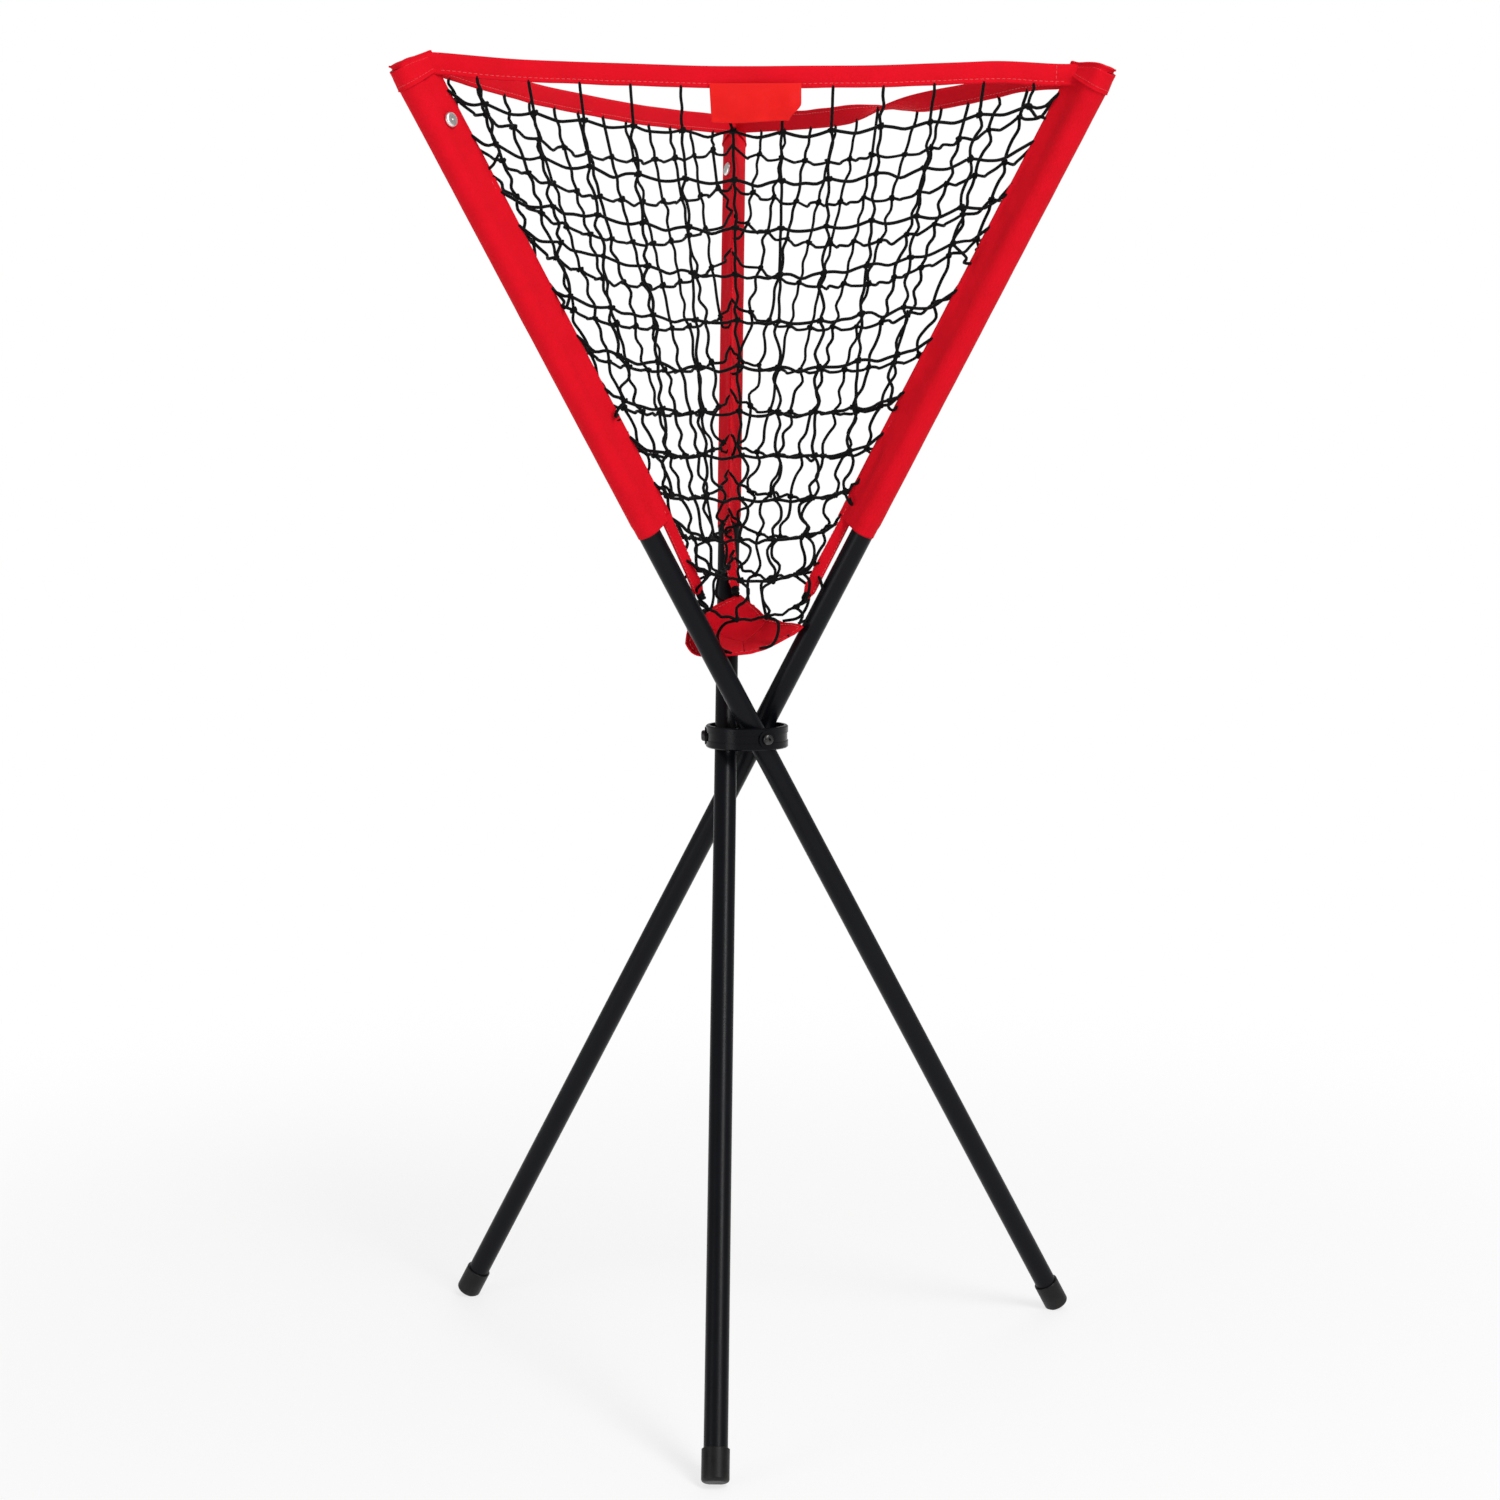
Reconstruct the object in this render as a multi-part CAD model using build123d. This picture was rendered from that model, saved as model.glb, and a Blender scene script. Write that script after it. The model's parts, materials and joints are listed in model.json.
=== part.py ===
"""Folding ball caddy: three tubes cross inside a hub ring and carry a three-sided net basket.

Each tube is pinned to the ring by one bolt that points at the ring's axis. Its lower end is a
foot, and its upper end lifts one corner of the basket. Turning the three tubes about their
bolts folds the stand into a bundle of parallel tubes.

Millimetres. +Z is up, and the origin is on the floor, under the middle of the part's box.
Letters a, b and c name the three legs: a carries the back corner, b the front left corner
and c the front right corner, seen from -Y.
"""

from build123d import *
from math import acos, atan2, cos, radians, sin, sqrt
import copy
import os

# ---- Driving dimensions -------------------------------------------------------------------

TILT = 30.3              # angle of each open leg from the vertical, degrees
LEG_ANGLES = {"a": 180.0, "b": 300.0, "c": 60.0}   # where each pivot bolt sits on the ring

TUBE_R = 8.0             # leg tube: outside radius
TUBE_WALL = 1.2
LEG_UP = 527.0           # pivot bolt to the upper end of the tube
LEG_DOWN = 531.0         # pivot bolt to the sole of the foot cap

CORE_R = 4.1             # open space left at the ring's axis, inside the three nuts
BOLT_R = 2.0             # M4 pivot bolt
BOLT_HEAD_R = 4.0
BOLT_HEAD_H = 2.6
BOLT_TIP_BEYOND_NUT = 0.6
BOLT_SOCKET_FLATS = 2.5  # hex key size of the bolt
BOLT_SOCKET_DEPTH = 1.4
NUT_FLATS = 7.0
NUT_H = 3.0
WASHER_R = 5.5
WASHER_T = 1.0
SADDLE_R = 5.0           # curved spacer between the tube and the washer
SADDLE_T = 1.5           # its thickness at the middle

RING_ROOM = 3.8          # outer sides of the tubes to the ring
RING_WALL = 2.8
RING_H = 16.0
RING_GROOVE_H = 6.0      # shallow band round the outside of the ring
RING_GROOVE_DEPTH = 0.6
RING_EDGE = 0.8
PAD_R = 6.5              # flat pads round each bolt hole
RING_PAD_PROUD = 0.6     # how far the outer pad stands out of the ring

CAP_WALL = 1.3           # rubber foot cap
CAP_LENGTH = 22.0
CAP_FLOOR = 3.5
CAP_ROUND = 2.5
CAP_PRESSED = 0.8        # how much of the rubber edge is flattened on the floor

PLUG_HEAD_H = 2.5        # plastic plug in the upper end of the tube
PLUG_LENGTH = 12.0

CLOTH = 0.8              # one layer of the sleeve's cloth
SLEEVE_START = 171.0     # pivot bolt to the lower hem of the sleeve
SEAM_OUT = 11.0          # side of the tube to the sleeve's seam
FLANGE_W = 3.0           # sewn flange beyond the seam
FLANGE_HALF = 0.9

SNAP_BELOW_END = 43.0    # upper end of the tube to the snap fastener
SNAP_ROOM = 0.65         # tube to the snap's stud
SNAP_R = 5.2
SNAP_H = 2.2
SNAP_POST_R = 1.8
SNAP_GRIP = 1.4          # cloth that the snap's two halves hold between them
STUD_R = 3.0
STUD_T = 0.9

RIM_GAP = 1.5            # edge of the flange to the corner where two rim bands meet
RIM_H = 15.0
RIM_T = 2.0
RIM_SAG = 7.0

NET_T = 2.0              # thickness of the space that a net panel takes
NET_INSET_TOP = 8.0      # corner to the start of a net panel
NET_INSET_LOW = 11.5

TAPE_T = 1.6             # corner tape between a sleeve's hem and the bottom patch
TAPE_TOP = (4.5, 12.5)   # its edges at the hem, from the side of the tube
TAPE_LOW = (-0.5, 5.0)   # its edges at the lower end, from the side of the tube
TAPE_ASIDE = 1.0         # the lower end hangs aside, this much short of the tube's radius
TAPE_LOW_AT = 110.0      # pivot bolt to the lower end

PATCH_T = 1.6            # cloth patch that closes the net at the bottom
PATCH_RISE = {"a": 94.5, "b": 67.5, "c": 81.5}     # over the ring: it hangs unevenly, as cloth does
PATCH_BEYOND = 6.6       # how far its lowest corner reaches beyond the tube beside it

LABEL_W = 60.0           # plain red flap under the front rim band
LABEL_H = 22.0
LABEL_T = 0.8

RUNNING = 0.08           # radial clearance of the bolts in their holes
LOOSE = 0.1              # clearance between pieces that only touch
CLEAR = 0.4              # clearance between a soft piece and its neighbour

# ---- Worked out from them -----------------------------------------------------------------

SIN, COS = sin(radians(TILT)), cos(radians(TILT))
PIVOT_R = CORE_R + NUT_H + LOOSE + TUBE_R      # ring axis to the tube axis, at the pivot
CAP_R = TUBE_R + CAP_WALL
TUBE_BORE_R = TUBE_R - TUBE_WALL
# The lowest edge of a tilted foot cap is a rounded rim, and the floor flattens it a little.
HUB_Z = (LEG_DOWN - CAP_ROUND) * COS + (CAP_R - CAP_ROUND) * SIN + CAP_ROUND - CAP_PRESSED

TUBE_FAR = PIVOT_R + TUBE_R                    # ring axis to the outer side of the tube
RING_BORE_R = TUBE_FAR + RING_ROOM
RING_R = RING_BORE_R + RING_WALL
SADDLE_FACE = TUBE_FAR + SADDLE_T
WASHER_FACE = SADDLE_FACE + LOOSE + WASHER_T
RING_PAD_IN = WASHER_FACE + LOOSE              # inner pad face, from the ring axis
RING_PAD_OUT = RING_R + RING_PAD_PROUD
HEAD_SEAT = RING_PAD_OUT + LOOSE
BOLT_END = CORE_R - BOLT_TIP_BEYOND_NUT

SLEEVE_R = TUBE_R + LOOSE + CLOTH              # outside of the cloth round the tube
SEAM_AT = TUBE_R + SEAM_OUT                    # tube axis to the seam
FLANGE_AT = SEAM_AT + FLANGE_W
RIM_AT = FLANGE_AT + RIM_GAP
SLEEVE_TOP = LEG_UP + PLUG_HEAD_H + LOOSE + CLOTH
STUD_INSIDE = SLEEVE_R - SNAP_GRIP - STUD_T    # tube axis to the plane of the stud's inner face


def radial(angle):
    """Unit vector from the ring's axis towards a place on the ring."""
    return Vector(cos(radians(angle)), sin(radians(angle)), 0)


def leg_plane(name):
    """A leg's own frame: origin at its pivot, X out along its bolt, Y towards the basket, Z up the tube."""
    out = radial(LEG_ANGLES[name])
    along = Vector(out.Y * SIN, -out.X * SIN, COS)
    return Plane(origin=out * PIVOT_R + Vector(0, 0, HUB_Z), x_dir=out, z_dir=along)


def place(shape, name):
    """A shape made in the leg's own frame, moved to where that leg stands."""
    return leg_plane(name).location * shape


def in_leg(name, x, y, z):
    """A point of the leg's own frame, in the part's frame."""
    return leg_plane(name).from_local_coords(Vector(x, y, z))


def along_x(radius, start, end):
    """A cylinder on the leg's X axis, that is on its bolt, between two distances from the pivot."""
    return Plane.YZ.offset(start) * extrude(Circle(radius), end - start)


def hexagon_along_x(flats, start, length):
    """A hexagon bar on the leg's X axis, with a flat on either side."""
    return Plane.YZ.offset(start) * extrude(RegularPolygon(flats / 2, 6, major_radius=False), length)


# ---- Leg ----------------------------------------------------------------------------------

def leg_tube():
    """Straight steel tube, drilled across for the pivot bolt."""
    low = -LEG_DOWN + CAP_FLOOR
    wall = Circle(TUBE_R) - Circle(TUBE_BORE_R)
    tube = Pos(0, 0, low) * extrude(wall, LEG_UP - low)
    return tube - along_x(BOLT_R + LOOSE, -2 * TUBE_R, 2 * TUBE_R)


def foot_cap():
    """Rubber cap over the lower end of the tube, with a rounded sole."""
    body = Pos(0, 0, -LEG_DOWN) * extrude(Circle(CAP_R), CAP_LENGTH)
    sole = body.edges().sort_by(Axis.Z)[0]
    body = fillet(sole, CAP_ROUND)
    mouth = body.edges().sort_by(Axis.Z)[-1]
    body = chamfer(mouth, CAP_WALL / 3)
    return body - Pos(0, 0, -LEG_DOWN + CAP_FLOOR) * extrude(Circle(TUBE_R), CAP_LENGTH)


def top_plug():
    """Plastic plug that closes the upper end of the tube, so that it can't wear the cloth."""
    head = Pos(0, 0, LEG_UP) * extrude(Circle(TUBE_R), PLUG_HEAD_H)
    head = fillet(head.edges().sort_by(Axis.Z)[-1], PLUG_HEAD_H * 0.6)
    shank_wall = Circle(TUBE_BORE_R - LOOSE) - Circle(TUBE_BORE_R - LOOSE - TUBE_WALL)
    return head + Pos(0, 0, LEG_UP - PLUG_LENGTH) * extrude(shank_wall, PLUG_LENGTH)


def pivot_bolt():
    """Button-head bolt through ring, washer, saddle and tube. X is counted from the ring's axis here."""
    shank = along_x(BOLT_R, BOLT_END, HEAD_SEAT)
    shank = chamfer(shank.edges().sort_by(Axis.X)[0], BOLT_R / 5)
    head = along_x(BOLT_HEAD_R, HEAD_SEAT, HEAD_SEAT + BOLT_HEAD_H)
    head = fillet(head.edges().sort_by(Axis.X)[-1], BOLT_HEAD_H * 0.75)
    key = hexagon_along_x(BOLT_SOCKET_FLATS, HEAD_SEAT + BOLT_HEAD_H - BOLT_SOCKET_DEPTH, BOLT_HEAD_H)
    return Pos(-PIVOT_R, 0, 0) * (shank + head - key)


def pivot_nut():
    """Thin hexagon lock nut on the inner side of the tube."""
    nut = hexagon_along_x(NUT_FLATS, CORE_R, NUT_H) - along_x(BOLT_R + RUNNING, 0, PIVOT_R)
    return Pos(-PIVOT_R, 0, 0) * nut


def pivot_saddle():
    """Spacer that cups the round tube on one side and is flat on the other."""
    blank = along_x(SADDLE_R, 0, SADDLE_FACE - PIVOT_R) - along_x(BOLT_R + LOOSE, -TUBE_R, 2 * TUBE_R)
    tube = Pos(0, 0, -LEG_UP / 2) * extrude(Circle(TUBE_R), LEG_UP)
    return blank - tube


def pivot_washer():
    """Flat nylon washer between the saddle and the ring."""
    face = SADDLE_FACE + LOOSE - PIVOT_R
    return along_x(WASHER_R, face, face + WASHER_T) - along_x(BOLT_R + RUNNING, face, face + WASHER_T)


# ---- Sleeve and its snap ------------------------------------------------------------------

def tangent_bearing(radius, seam, half):
    """Angle from X at which the cloth leaves the round and runs straight to its seam."""
    return radians(90) - atan2(half, seam) - acos(radius / sqrt(seam**2 + half**2))


def teardrop(radius, seam, half):
    """Cloth round a tube whose two layers meet at the seam: a circle and its tangents."""
    bearing = tangent_bearing(radius, seam, half)
    touch = (radius * cos(bearing), radius * sin(bearing))
    wedge = Polygon((0, 0), touch, (half, seam), (-half, seam), (-touch[0], touch[1]), align=None)
    return Circle(radius) + wedge


def snap_seat():
    """Plane of the cloth that the snap sits on: the sleeve's straight side, Z pointing out of it."""
    bearing = tangent_bearing(SLEEVE_R, SEAM_AT, FLANGE_HALF)
    out, across = Vector(cos(bearing), sin(bearing)), Vector(-sin(bearing), cos(bearing))
    beside_tube = sqrt(max(0, TUBE_R**2 - STUD_INSIDE**2)) + SNAP_ROOM + STUD_R
    middle = out * SLEEVE_R + across * beside_tube + Vector(0, 0, LEG_UP - SNAP_BELOW_END)
    return Plane(origin=middle, x_dir=across, z_dir=out)


def sleeve():
    """Cloth sleeve, closed over the tube's end, with a sewn flange that carries the net."""
    flange = Pos(0, (SEAM_AT - CLOTH + FLANGE_AT) / 2) * Rectangle(2 * FLANGE_HALF, FLANGE_AT - SEAM_AT + CLOTH)
    outside = teardrop(SLEEVE_R, SEAM_AT, FLANGE_HALF) + flange
    inside = teardrop(TUBE_R + LOOSE, SEAM_AT - 2 * CLOTH, CLOTH / 8)
    cloth = Pos(0, 0, SLEEVE_START) * extrude(outside, SLEEVE_TOP - SLEEVE_START)
    cloth -= Pos(0, 0, SLEEVE_START - CLOTH) * extrude(inside, SLEEVE_TOP - SLEEVE_START)
    return cloth - snap_seat().location * extrude(Circle(SNAP_POST_R + LOOSE), -SNAP_GRIP)


def snap_cap():
    """Domed metal cap on the outside of the sleeve, with its post through the cloth."""
    dome = extrude(Circle(SNAP_R), SNAP_H)
    dome = fillet(dome.edges().sort_by(Axis.Z)[-1], SNAP_H * 0.8)
    dimple = Pos(0, 0, SNAP_H) * Sphere(SNAP_H / 3)
    post = extrude(Circle(SNAP_POST_R), -SNAP_GRIP)
    return snap_seat().location * (dome - dimple + post)


def snap_stud():
    """Round stud that the cap's post clips into, inside the sleeve."""
    return snap_seat().location * Pos(0, 0, -SNAP_GRIP) * extrude(Circle(STUD_R), -STUD_T)


# ---- Hub ring -----------------------------------------------------------------------------

def hub_ring():
    """Moulded ring round the three tubes, with a flat pad inside and outside each bolt hole."""
    body = extrude(Circle(RING_R), RING_H / 2, both=True)
    body = chamfer(body.edges(), RING_EDGE)
    groove_wall = Circle(RING_R + RING_EDGE) - Circle(RING_R - RING_GROOVE_DEPTH)
    body -= extrude(groove_wall, RING_GROOVE_H / 2, both=True)
    body -= extrude(Circle(RING_BORE_R), RING_H, both=True)
    for angle in LEG_ANGLES.values():
        body += Rot(0, 0, angle) * along_x(PAD_R, RING_PAD_IN, RING_PAD_OUT)
    for angle in LEG_ANGLES.values():
        body -= Rot(0, 0, angle) * along_x(BOLT_R + RUNNING, 0, 2 * RING_R)
    return Pos(0, 0, HUB_Z) * body


# ---- Basket -------------------------------------------------------------------------------

def corner(name, height):
    """Where a basket corner's edge line is at a height above the floor, as far down as the sleeve's hem."""
    up_leg = (height - HUB_Z - RIM_AT * SIN) / COS
    return in_leg(name, 0, RIM_AT, up_leg)


def patch_corner(name):
    """Where the bottom patch ends, on the side that the leg leans to and past the tube beside it."""
    reach = min(PATCH_RISE.values()) * SIN / COS + PATCH_BEYOND
    return radial(LEG_ANGLES[name] - 90) * reach + Vector(0, 0, HUB_Z + PATCH_RISE[name])


RIM_Z = in_leg("a", 0, RIM_AT, LEG_UP).Z
NET_TOP_Z = RIM_Z - RIM_SAG - RIM_H - CLEAR
HEM_Z = in_leg("a", 0, RIM_AT, SLEEVE_START).Z
# The side of the basket between two legs, named as seen from -Y.
SIDES = {"front": ("b", "c"), "right": ("c", "a"), "left": ("a", "b")}


def side_plane(side, height):
    """A basket side's frame: X along it, Y up and Z out of the basket, at the middle of its edge."""
    first, second = (corner(name, height) for name in SIDES[side])
    along = (second - first).normalized()
    return Plane(origin=(first + second) / 2, x_dir=along, z_dir=along.cross(Vector(0, 0, 1)))


def side_length(side, height):
    """Distance between a basket side's two corners at a height."""
    first, second = (corner(name, height) for name in SIDES[side])
    return (second - first).length


def rim_band(side):
    """Folded cloth band along the top of one side, which hangs in a shallow curve."""
    half, half_low = (side_length(side, height) / 2 - RIM_T - CLEAR for height in (RIM_Z, RIM_Z - RIM_H))
    top = ThreePointArc((-half, 0), (0, -RIM_SAG), (half, 0))
    low = ThreePointArc((half_low, -RIM_H), (0, -RIM_SAG - RIM_H), (-half_low, -RIM_H))
    outline = top + Line(top @ 1, low @ 0) + low + Line(low @ 1, top @ 0)
    return side_plane(side, RIM_Z).location * extrude(make_face(outline), RIM_T / 2, both=True)


def thin_section(start, end, inset):
    """A thin upright slice of a net panel between two points, drawn in from both."""
    along = (end - start).normalized()
    start, end = start + along * inset, end - along * inset
    half = along.cross(Vector(0, 0, 1)).normalized() * (NET_T / 2)
    return make_face(Polyline(start - half, end - half, end + half, start + half, close=True))


def net_panel(side):
    """Space of one side of the net: from the rim down to the hems, then in to the bottom patch."""
    first, second = SIDES[side]
    inward = side_plane(side, RIM_Z).z_dir * -(NET_T + LABEL_T)
    lift = Vector(0, 0, PATCH_T + CLEAR)
    sections = [
        thin_section(corner(first, NET_TOP_Z) + inward, corner(second, NET_TOP_Z) + inward, NET_INSET_TOP),
        thin_section(corner(first, HEM_Z) + inward, corner(second, HEM_Z) + inward, NET_INSET_LOW),
        thin_section(patch_corner(first) + lift, patch_corner(second) + lift, NET_INSET_LOW),
    ]
    return loft(sections, ruled=True)


def corner_tape(name):
    """Folded tape that closes the net's corner below a sleeve and ties it to the patch."""
    top = [in_leg(name, 0, TUBE_R + y, SLEEVE_START - CLEAR) for y in TAPE_TOP]
    low = [in_leg(name, TAPE_ASIDE - TUBE_R, TUBE_R + y, TAPE_LOW_AT) for y in reversed(TAPE_LOW)]
    face = make_face(Polyline(*top, *low, close=True))
    return extrude(face, TAPE_T / 2, both=True)


def bottom_patch():
    """Triangle of cloth under the net."""
    face = make_face(Polyline(*[patch_corner(name) for name in LEG_ANGLES], close=True))
    return extrude(face, PATCH_T / 2, both=True)


def label_flap():
    """Plain flap that hangs from the lower edge of the front rim band, outside the net."""
    outline = Pos(0, -RIM_SAG - RIM_H - CLEAR - LABEL_H / 2) * Rectangle(LABEL_W, LABEL_H)
    outline = fillet(outline.vertices().group_by(Axis.Y)[0], LABEL_H / 4)
    return side_plane("front", RIM_Z).location * extrude(outline, LABEL_T)


# ---- Write one STEP for each piece --------------------------------------------------------

LEG_PIECES = {
    "leg_tube": leg_tube(),
    "foot_cap": foot_cap(),
    "top_plug": top_plug(),
    "pivot_bolt": pivot_bolt(),
    "pivot_nut": pivot_nut(),
    "pivot_saddle": pivot_saddle(),
    "pivot_washer": pivot_washer(),
    "sleeve": sleeve(),
    "snap_cap": snap_cap(),
    "snap_stud": snap_stud(),
}

os.makedirs("parts", exist_ok=True)
pieces = {f"{piece}_{name}": place(shape, name) for piece, shape in LEG_PIECES.items() for name in LEG_ANGLES}
floor = Pos(0, 0, -LEG_DOWN / 2) * Box(3 * LEG_UP, 3 * LEG_UP, LEG_DOWN)
for name in LEG_ANGLES:
    pieces[f"foot_cap_{name}"] -= floor
    pieces[f"corner_tape_{name}"] = corner_tape(name)
pieces["hub_ring"] = hub_ring()
for side in SIDES:
    pieces[f"rim_band_{side}"] = rim_band(side)
    pieces[f"net_panel_{side}"] = net_panel(side)
pieces["bottom_patch"] = bottom_patch()
pieces["label_flap"] = label_flap()

# Everything so far stands round the ring's axis. The origin goes under the middle of the part's box.
box = Compound(children=[copy.copy(shape) for shape in pieces.values()]).bounding_box()
to_origin = Pos(-box.center().X, -box.center().Y, -box.min.Z)
for name, shape in pieces.items():
    export_step(to_origin * shape, f"parts/{name}.step")
for name in LEG_ANGLES:
    print("pivot", name, to_origin.position + leg_plane(name).origin, "bolt", leg_plane(name).x_dir)
print("ring axis", to_origin.position, "side of the opening", round(side_length("front", RIM_Z), 1))
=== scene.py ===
# %% [markdown]
# # A folding ball caddy
# Three black steel tubes cross inside a ring. They stand as a tripod, and their upper ends hold open
# a three-sided net basket with red cloth corners and a red rim. The hard parts come from CAD as a
# fixed frame. This file gives them their finishes and makes the cloth and the net round them.

# %% The frame
import json
import math
import bpy
import numpy as np
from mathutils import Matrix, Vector, noise


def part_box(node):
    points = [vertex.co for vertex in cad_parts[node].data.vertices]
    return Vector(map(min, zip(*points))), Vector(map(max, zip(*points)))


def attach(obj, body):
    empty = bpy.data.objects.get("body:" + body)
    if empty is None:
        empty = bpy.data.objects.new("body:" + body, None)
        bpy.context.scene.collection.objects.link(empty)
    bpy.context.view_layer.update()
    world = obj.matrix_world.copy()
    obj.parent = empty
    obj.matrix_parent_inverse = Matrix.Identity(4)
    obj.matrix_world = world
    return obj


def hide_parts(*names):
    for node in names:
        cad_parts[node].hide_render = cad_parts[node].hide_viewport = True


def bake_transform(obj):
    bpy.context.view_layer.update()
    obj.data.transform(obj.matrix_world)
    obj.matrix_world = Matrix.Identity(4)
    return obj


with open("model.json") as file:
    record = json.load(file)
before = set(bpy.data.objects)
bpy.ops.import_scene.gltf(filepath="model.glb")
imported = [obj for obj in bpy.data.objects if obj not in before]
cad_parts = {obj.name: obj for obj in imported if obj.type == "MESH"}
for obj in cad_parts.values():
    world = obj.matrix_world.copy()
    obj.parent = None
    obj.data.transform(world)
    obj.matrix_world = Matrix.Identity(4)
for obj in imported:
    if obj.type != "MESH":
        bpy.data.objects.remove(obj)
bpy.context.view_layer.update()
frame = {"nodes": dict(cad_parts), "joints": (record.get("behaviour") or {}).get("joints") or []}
nodes = frame["nodes"]

# %% [markdown]
# ## Camera
# A tall slim thing is best seen from a little above its middle, far enough away that the three legs
# don't spread. A camera two metres away with a lens of about 70 mm does that. It is made first, so
# that every later step can be looked at.

# %% The camera
camera_data = bpy.data.cameras.new("camera")
camera_data.lens = 68.9
camera_data.sensor_width = 36
camera = bpy.data.objects.new("camera", camera_data)
camera.location = (0.0342, -2.0633, 0.6828)
camera.rotation_euler = (math.radians(83.59), 0, math.radians(1.10))
bpy.context.scene.collection.objects.link(camera)
bpy.context.scene.camera = camera
print("camera", round(camera.location.length, 2), "m away")

# %% [markdown]
# ## The legs' own frames
# Every leg leans its own way, so a place on it is easier to say in its own frame: x out along its
# bolt, y towards the basket, z up the tube, in millimetres from the bolt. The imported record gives
# the bolt's place and direction, and the tube's own vertices give the way it leans.

# %% A frame for each leg
MM = 0.001
LEGS = "abc"
SIDES = {"front": ("b", "c"), "right": ("c", "a"), "left": ("a", "b")}


def vertices(node):
    """A node's points at rest, in millimetres."""
    return np.array([v.co for v in nodes[node].data.vertices]) / MM


pivot, turn = {}, {}
for joint in frame["joints"]:
    leg = joint["child"][-1]
    tube = vertices(f"leg_tube_{leg}")
    along = np.linalg.svd(tube - tube.mean(0), full_matrices=False)[2][0]
    along *= np.sign(along[2])
    out = -np.array(joint["axis"], float)
    pivot[leg] = np.array(joint["pos_m"]) / MM
    turn[leg] = np.array([out, np.cross(along, out), along])
    print("leg", leg, "leans", round(math.degrees(math.acos(along[2])), 1), "degrees")


def in_leg(leg, *xyz):
    """Points of a leg's own frame, in the object's frame. x, y and z may be arrays."""
    local = np.stack(np.broadcast_arrays(*[np.asarray(v, float) for v in xyz]), -1)
    return pivot[leg] + local @ turn[leg]


def own(leg, node):
    """A node's points in a leg's own frame."""
    return (vertices(node) - pivot[leg]) @ turn[leg].T


# %% [markdown]
# ## Sizes
# The cloth has to fit the tubes that CAD made, so its sizes are read from the nodes: where the
# sleeve starts and ends on the tube, how far its sewn flange stands out, how high the rim is.

# %% Sizes from the frame
TUBE_R = np.abs(own("a", "leg_tube_a")[:, 0]).max()
LEG_UP = own("a", "leg_tube_a")[:, 2].max()
SLEEVE_LOW = own("a", "sleeve_a")[:, 2].min()
SLEEVE_HIGH = own("a", "sleeve_a")[:, 2].max()
FLANGE = own("a", "sleeve_a")[:, 1].max()
CORNER = FLANGE + 1.5
SEAM = FLANGE - 3
CLOTH = 0.8
RIM_H = 14.5
RIM_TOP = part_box("rim_band_front")[1].z / MM
RIM_SAG = 7.0
AXIS = np.mean([pivot[leg] - turn[leg][0] * (pivot["c"][1] - pivot["b"][1]) / math.sqrt(3)
                for leg in LEGS], axis=0)
print("tube radius", round(TUBE_R, 2), "sleeve", round(SLEEVE_LOW), "to", round(SLEEVE_HIGH),
      "flange", round(FLANGE, 1), "rim", round(RIM_TOP, 1), "axis", AXIS.round(2))


def corner(leg, height, y=None):
    """Where the line y out from a leg's tube passes a height. It is the basket's corner by default."""
    y = CORNER if y is None else y
    z = (np.asarray(height, float) - pivot[leg][2] - turn[leg][1][2] * y) / turn[leg][2][2]
    return in_leg(leg, 0, y, z)


# %% [markdown]
# ## Mesh helpers
# Cloth and cord are soft, and their shapes follow rules better than tools: a strip of cloth is a
# grid of points, and a thread is a chain of rings. So each of them is worked out as a grid, and one
# helper turns any grid into faces with a flat pattern (UV) in metres, so that a weave drawn on that
# pattern keeps its real thread size.

# %% Grids to meshes
def grid_lot(grid, around=False, ends=False, finish=0):
    """Points, faces and flat pattern of a grid of points: rows along it, columns across it."""
    grid = np.asarray(grid, float)
    rows, columns = grid.shape[:2]
    row_steps = np.linalg.norm(np.diff(grid, axis=0), axis=2).mean(1)
    wrapped = np.concatenate([grid, grid[:, :1]], 1)
    column_steps = np.linalg.norm(np.diff(wrapped, axis=1), axis=2).mean(0)
    v = np.concatenate([[0], np.cumsum(row_steps)]) * MM
    u = np.concatenate([[0], np.cumsum(column_steps)]) * MM
    faces, pattern = [], []
    for i in range(rows - 1):
        for j in range(columns if around else columns - 1):
            k = (j + 1) % columns
            faces.append((i * columns + j, i * columns + k, (i + 1) * columns + k, (i + 1) * columns + j))
            pattern.append(((u[j], v[i]), (u[j + 1], v[i]), (u[j + 1], v[i + 1]), (u[j], v[i + 1])))
    if ends:
        first, last = list(range(columns)), list(range((rows - 1) * columns, rows * columns))
        faces += [tuple(reversed(first)), tuple(last)]
        pattern += [tuple((u[j], v[0]) for j in reversed(first)), tuple((u[j], v[-1]) for j in first)]
    return grid.reshape(-1, 3), faces, pattern, finish


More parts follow.
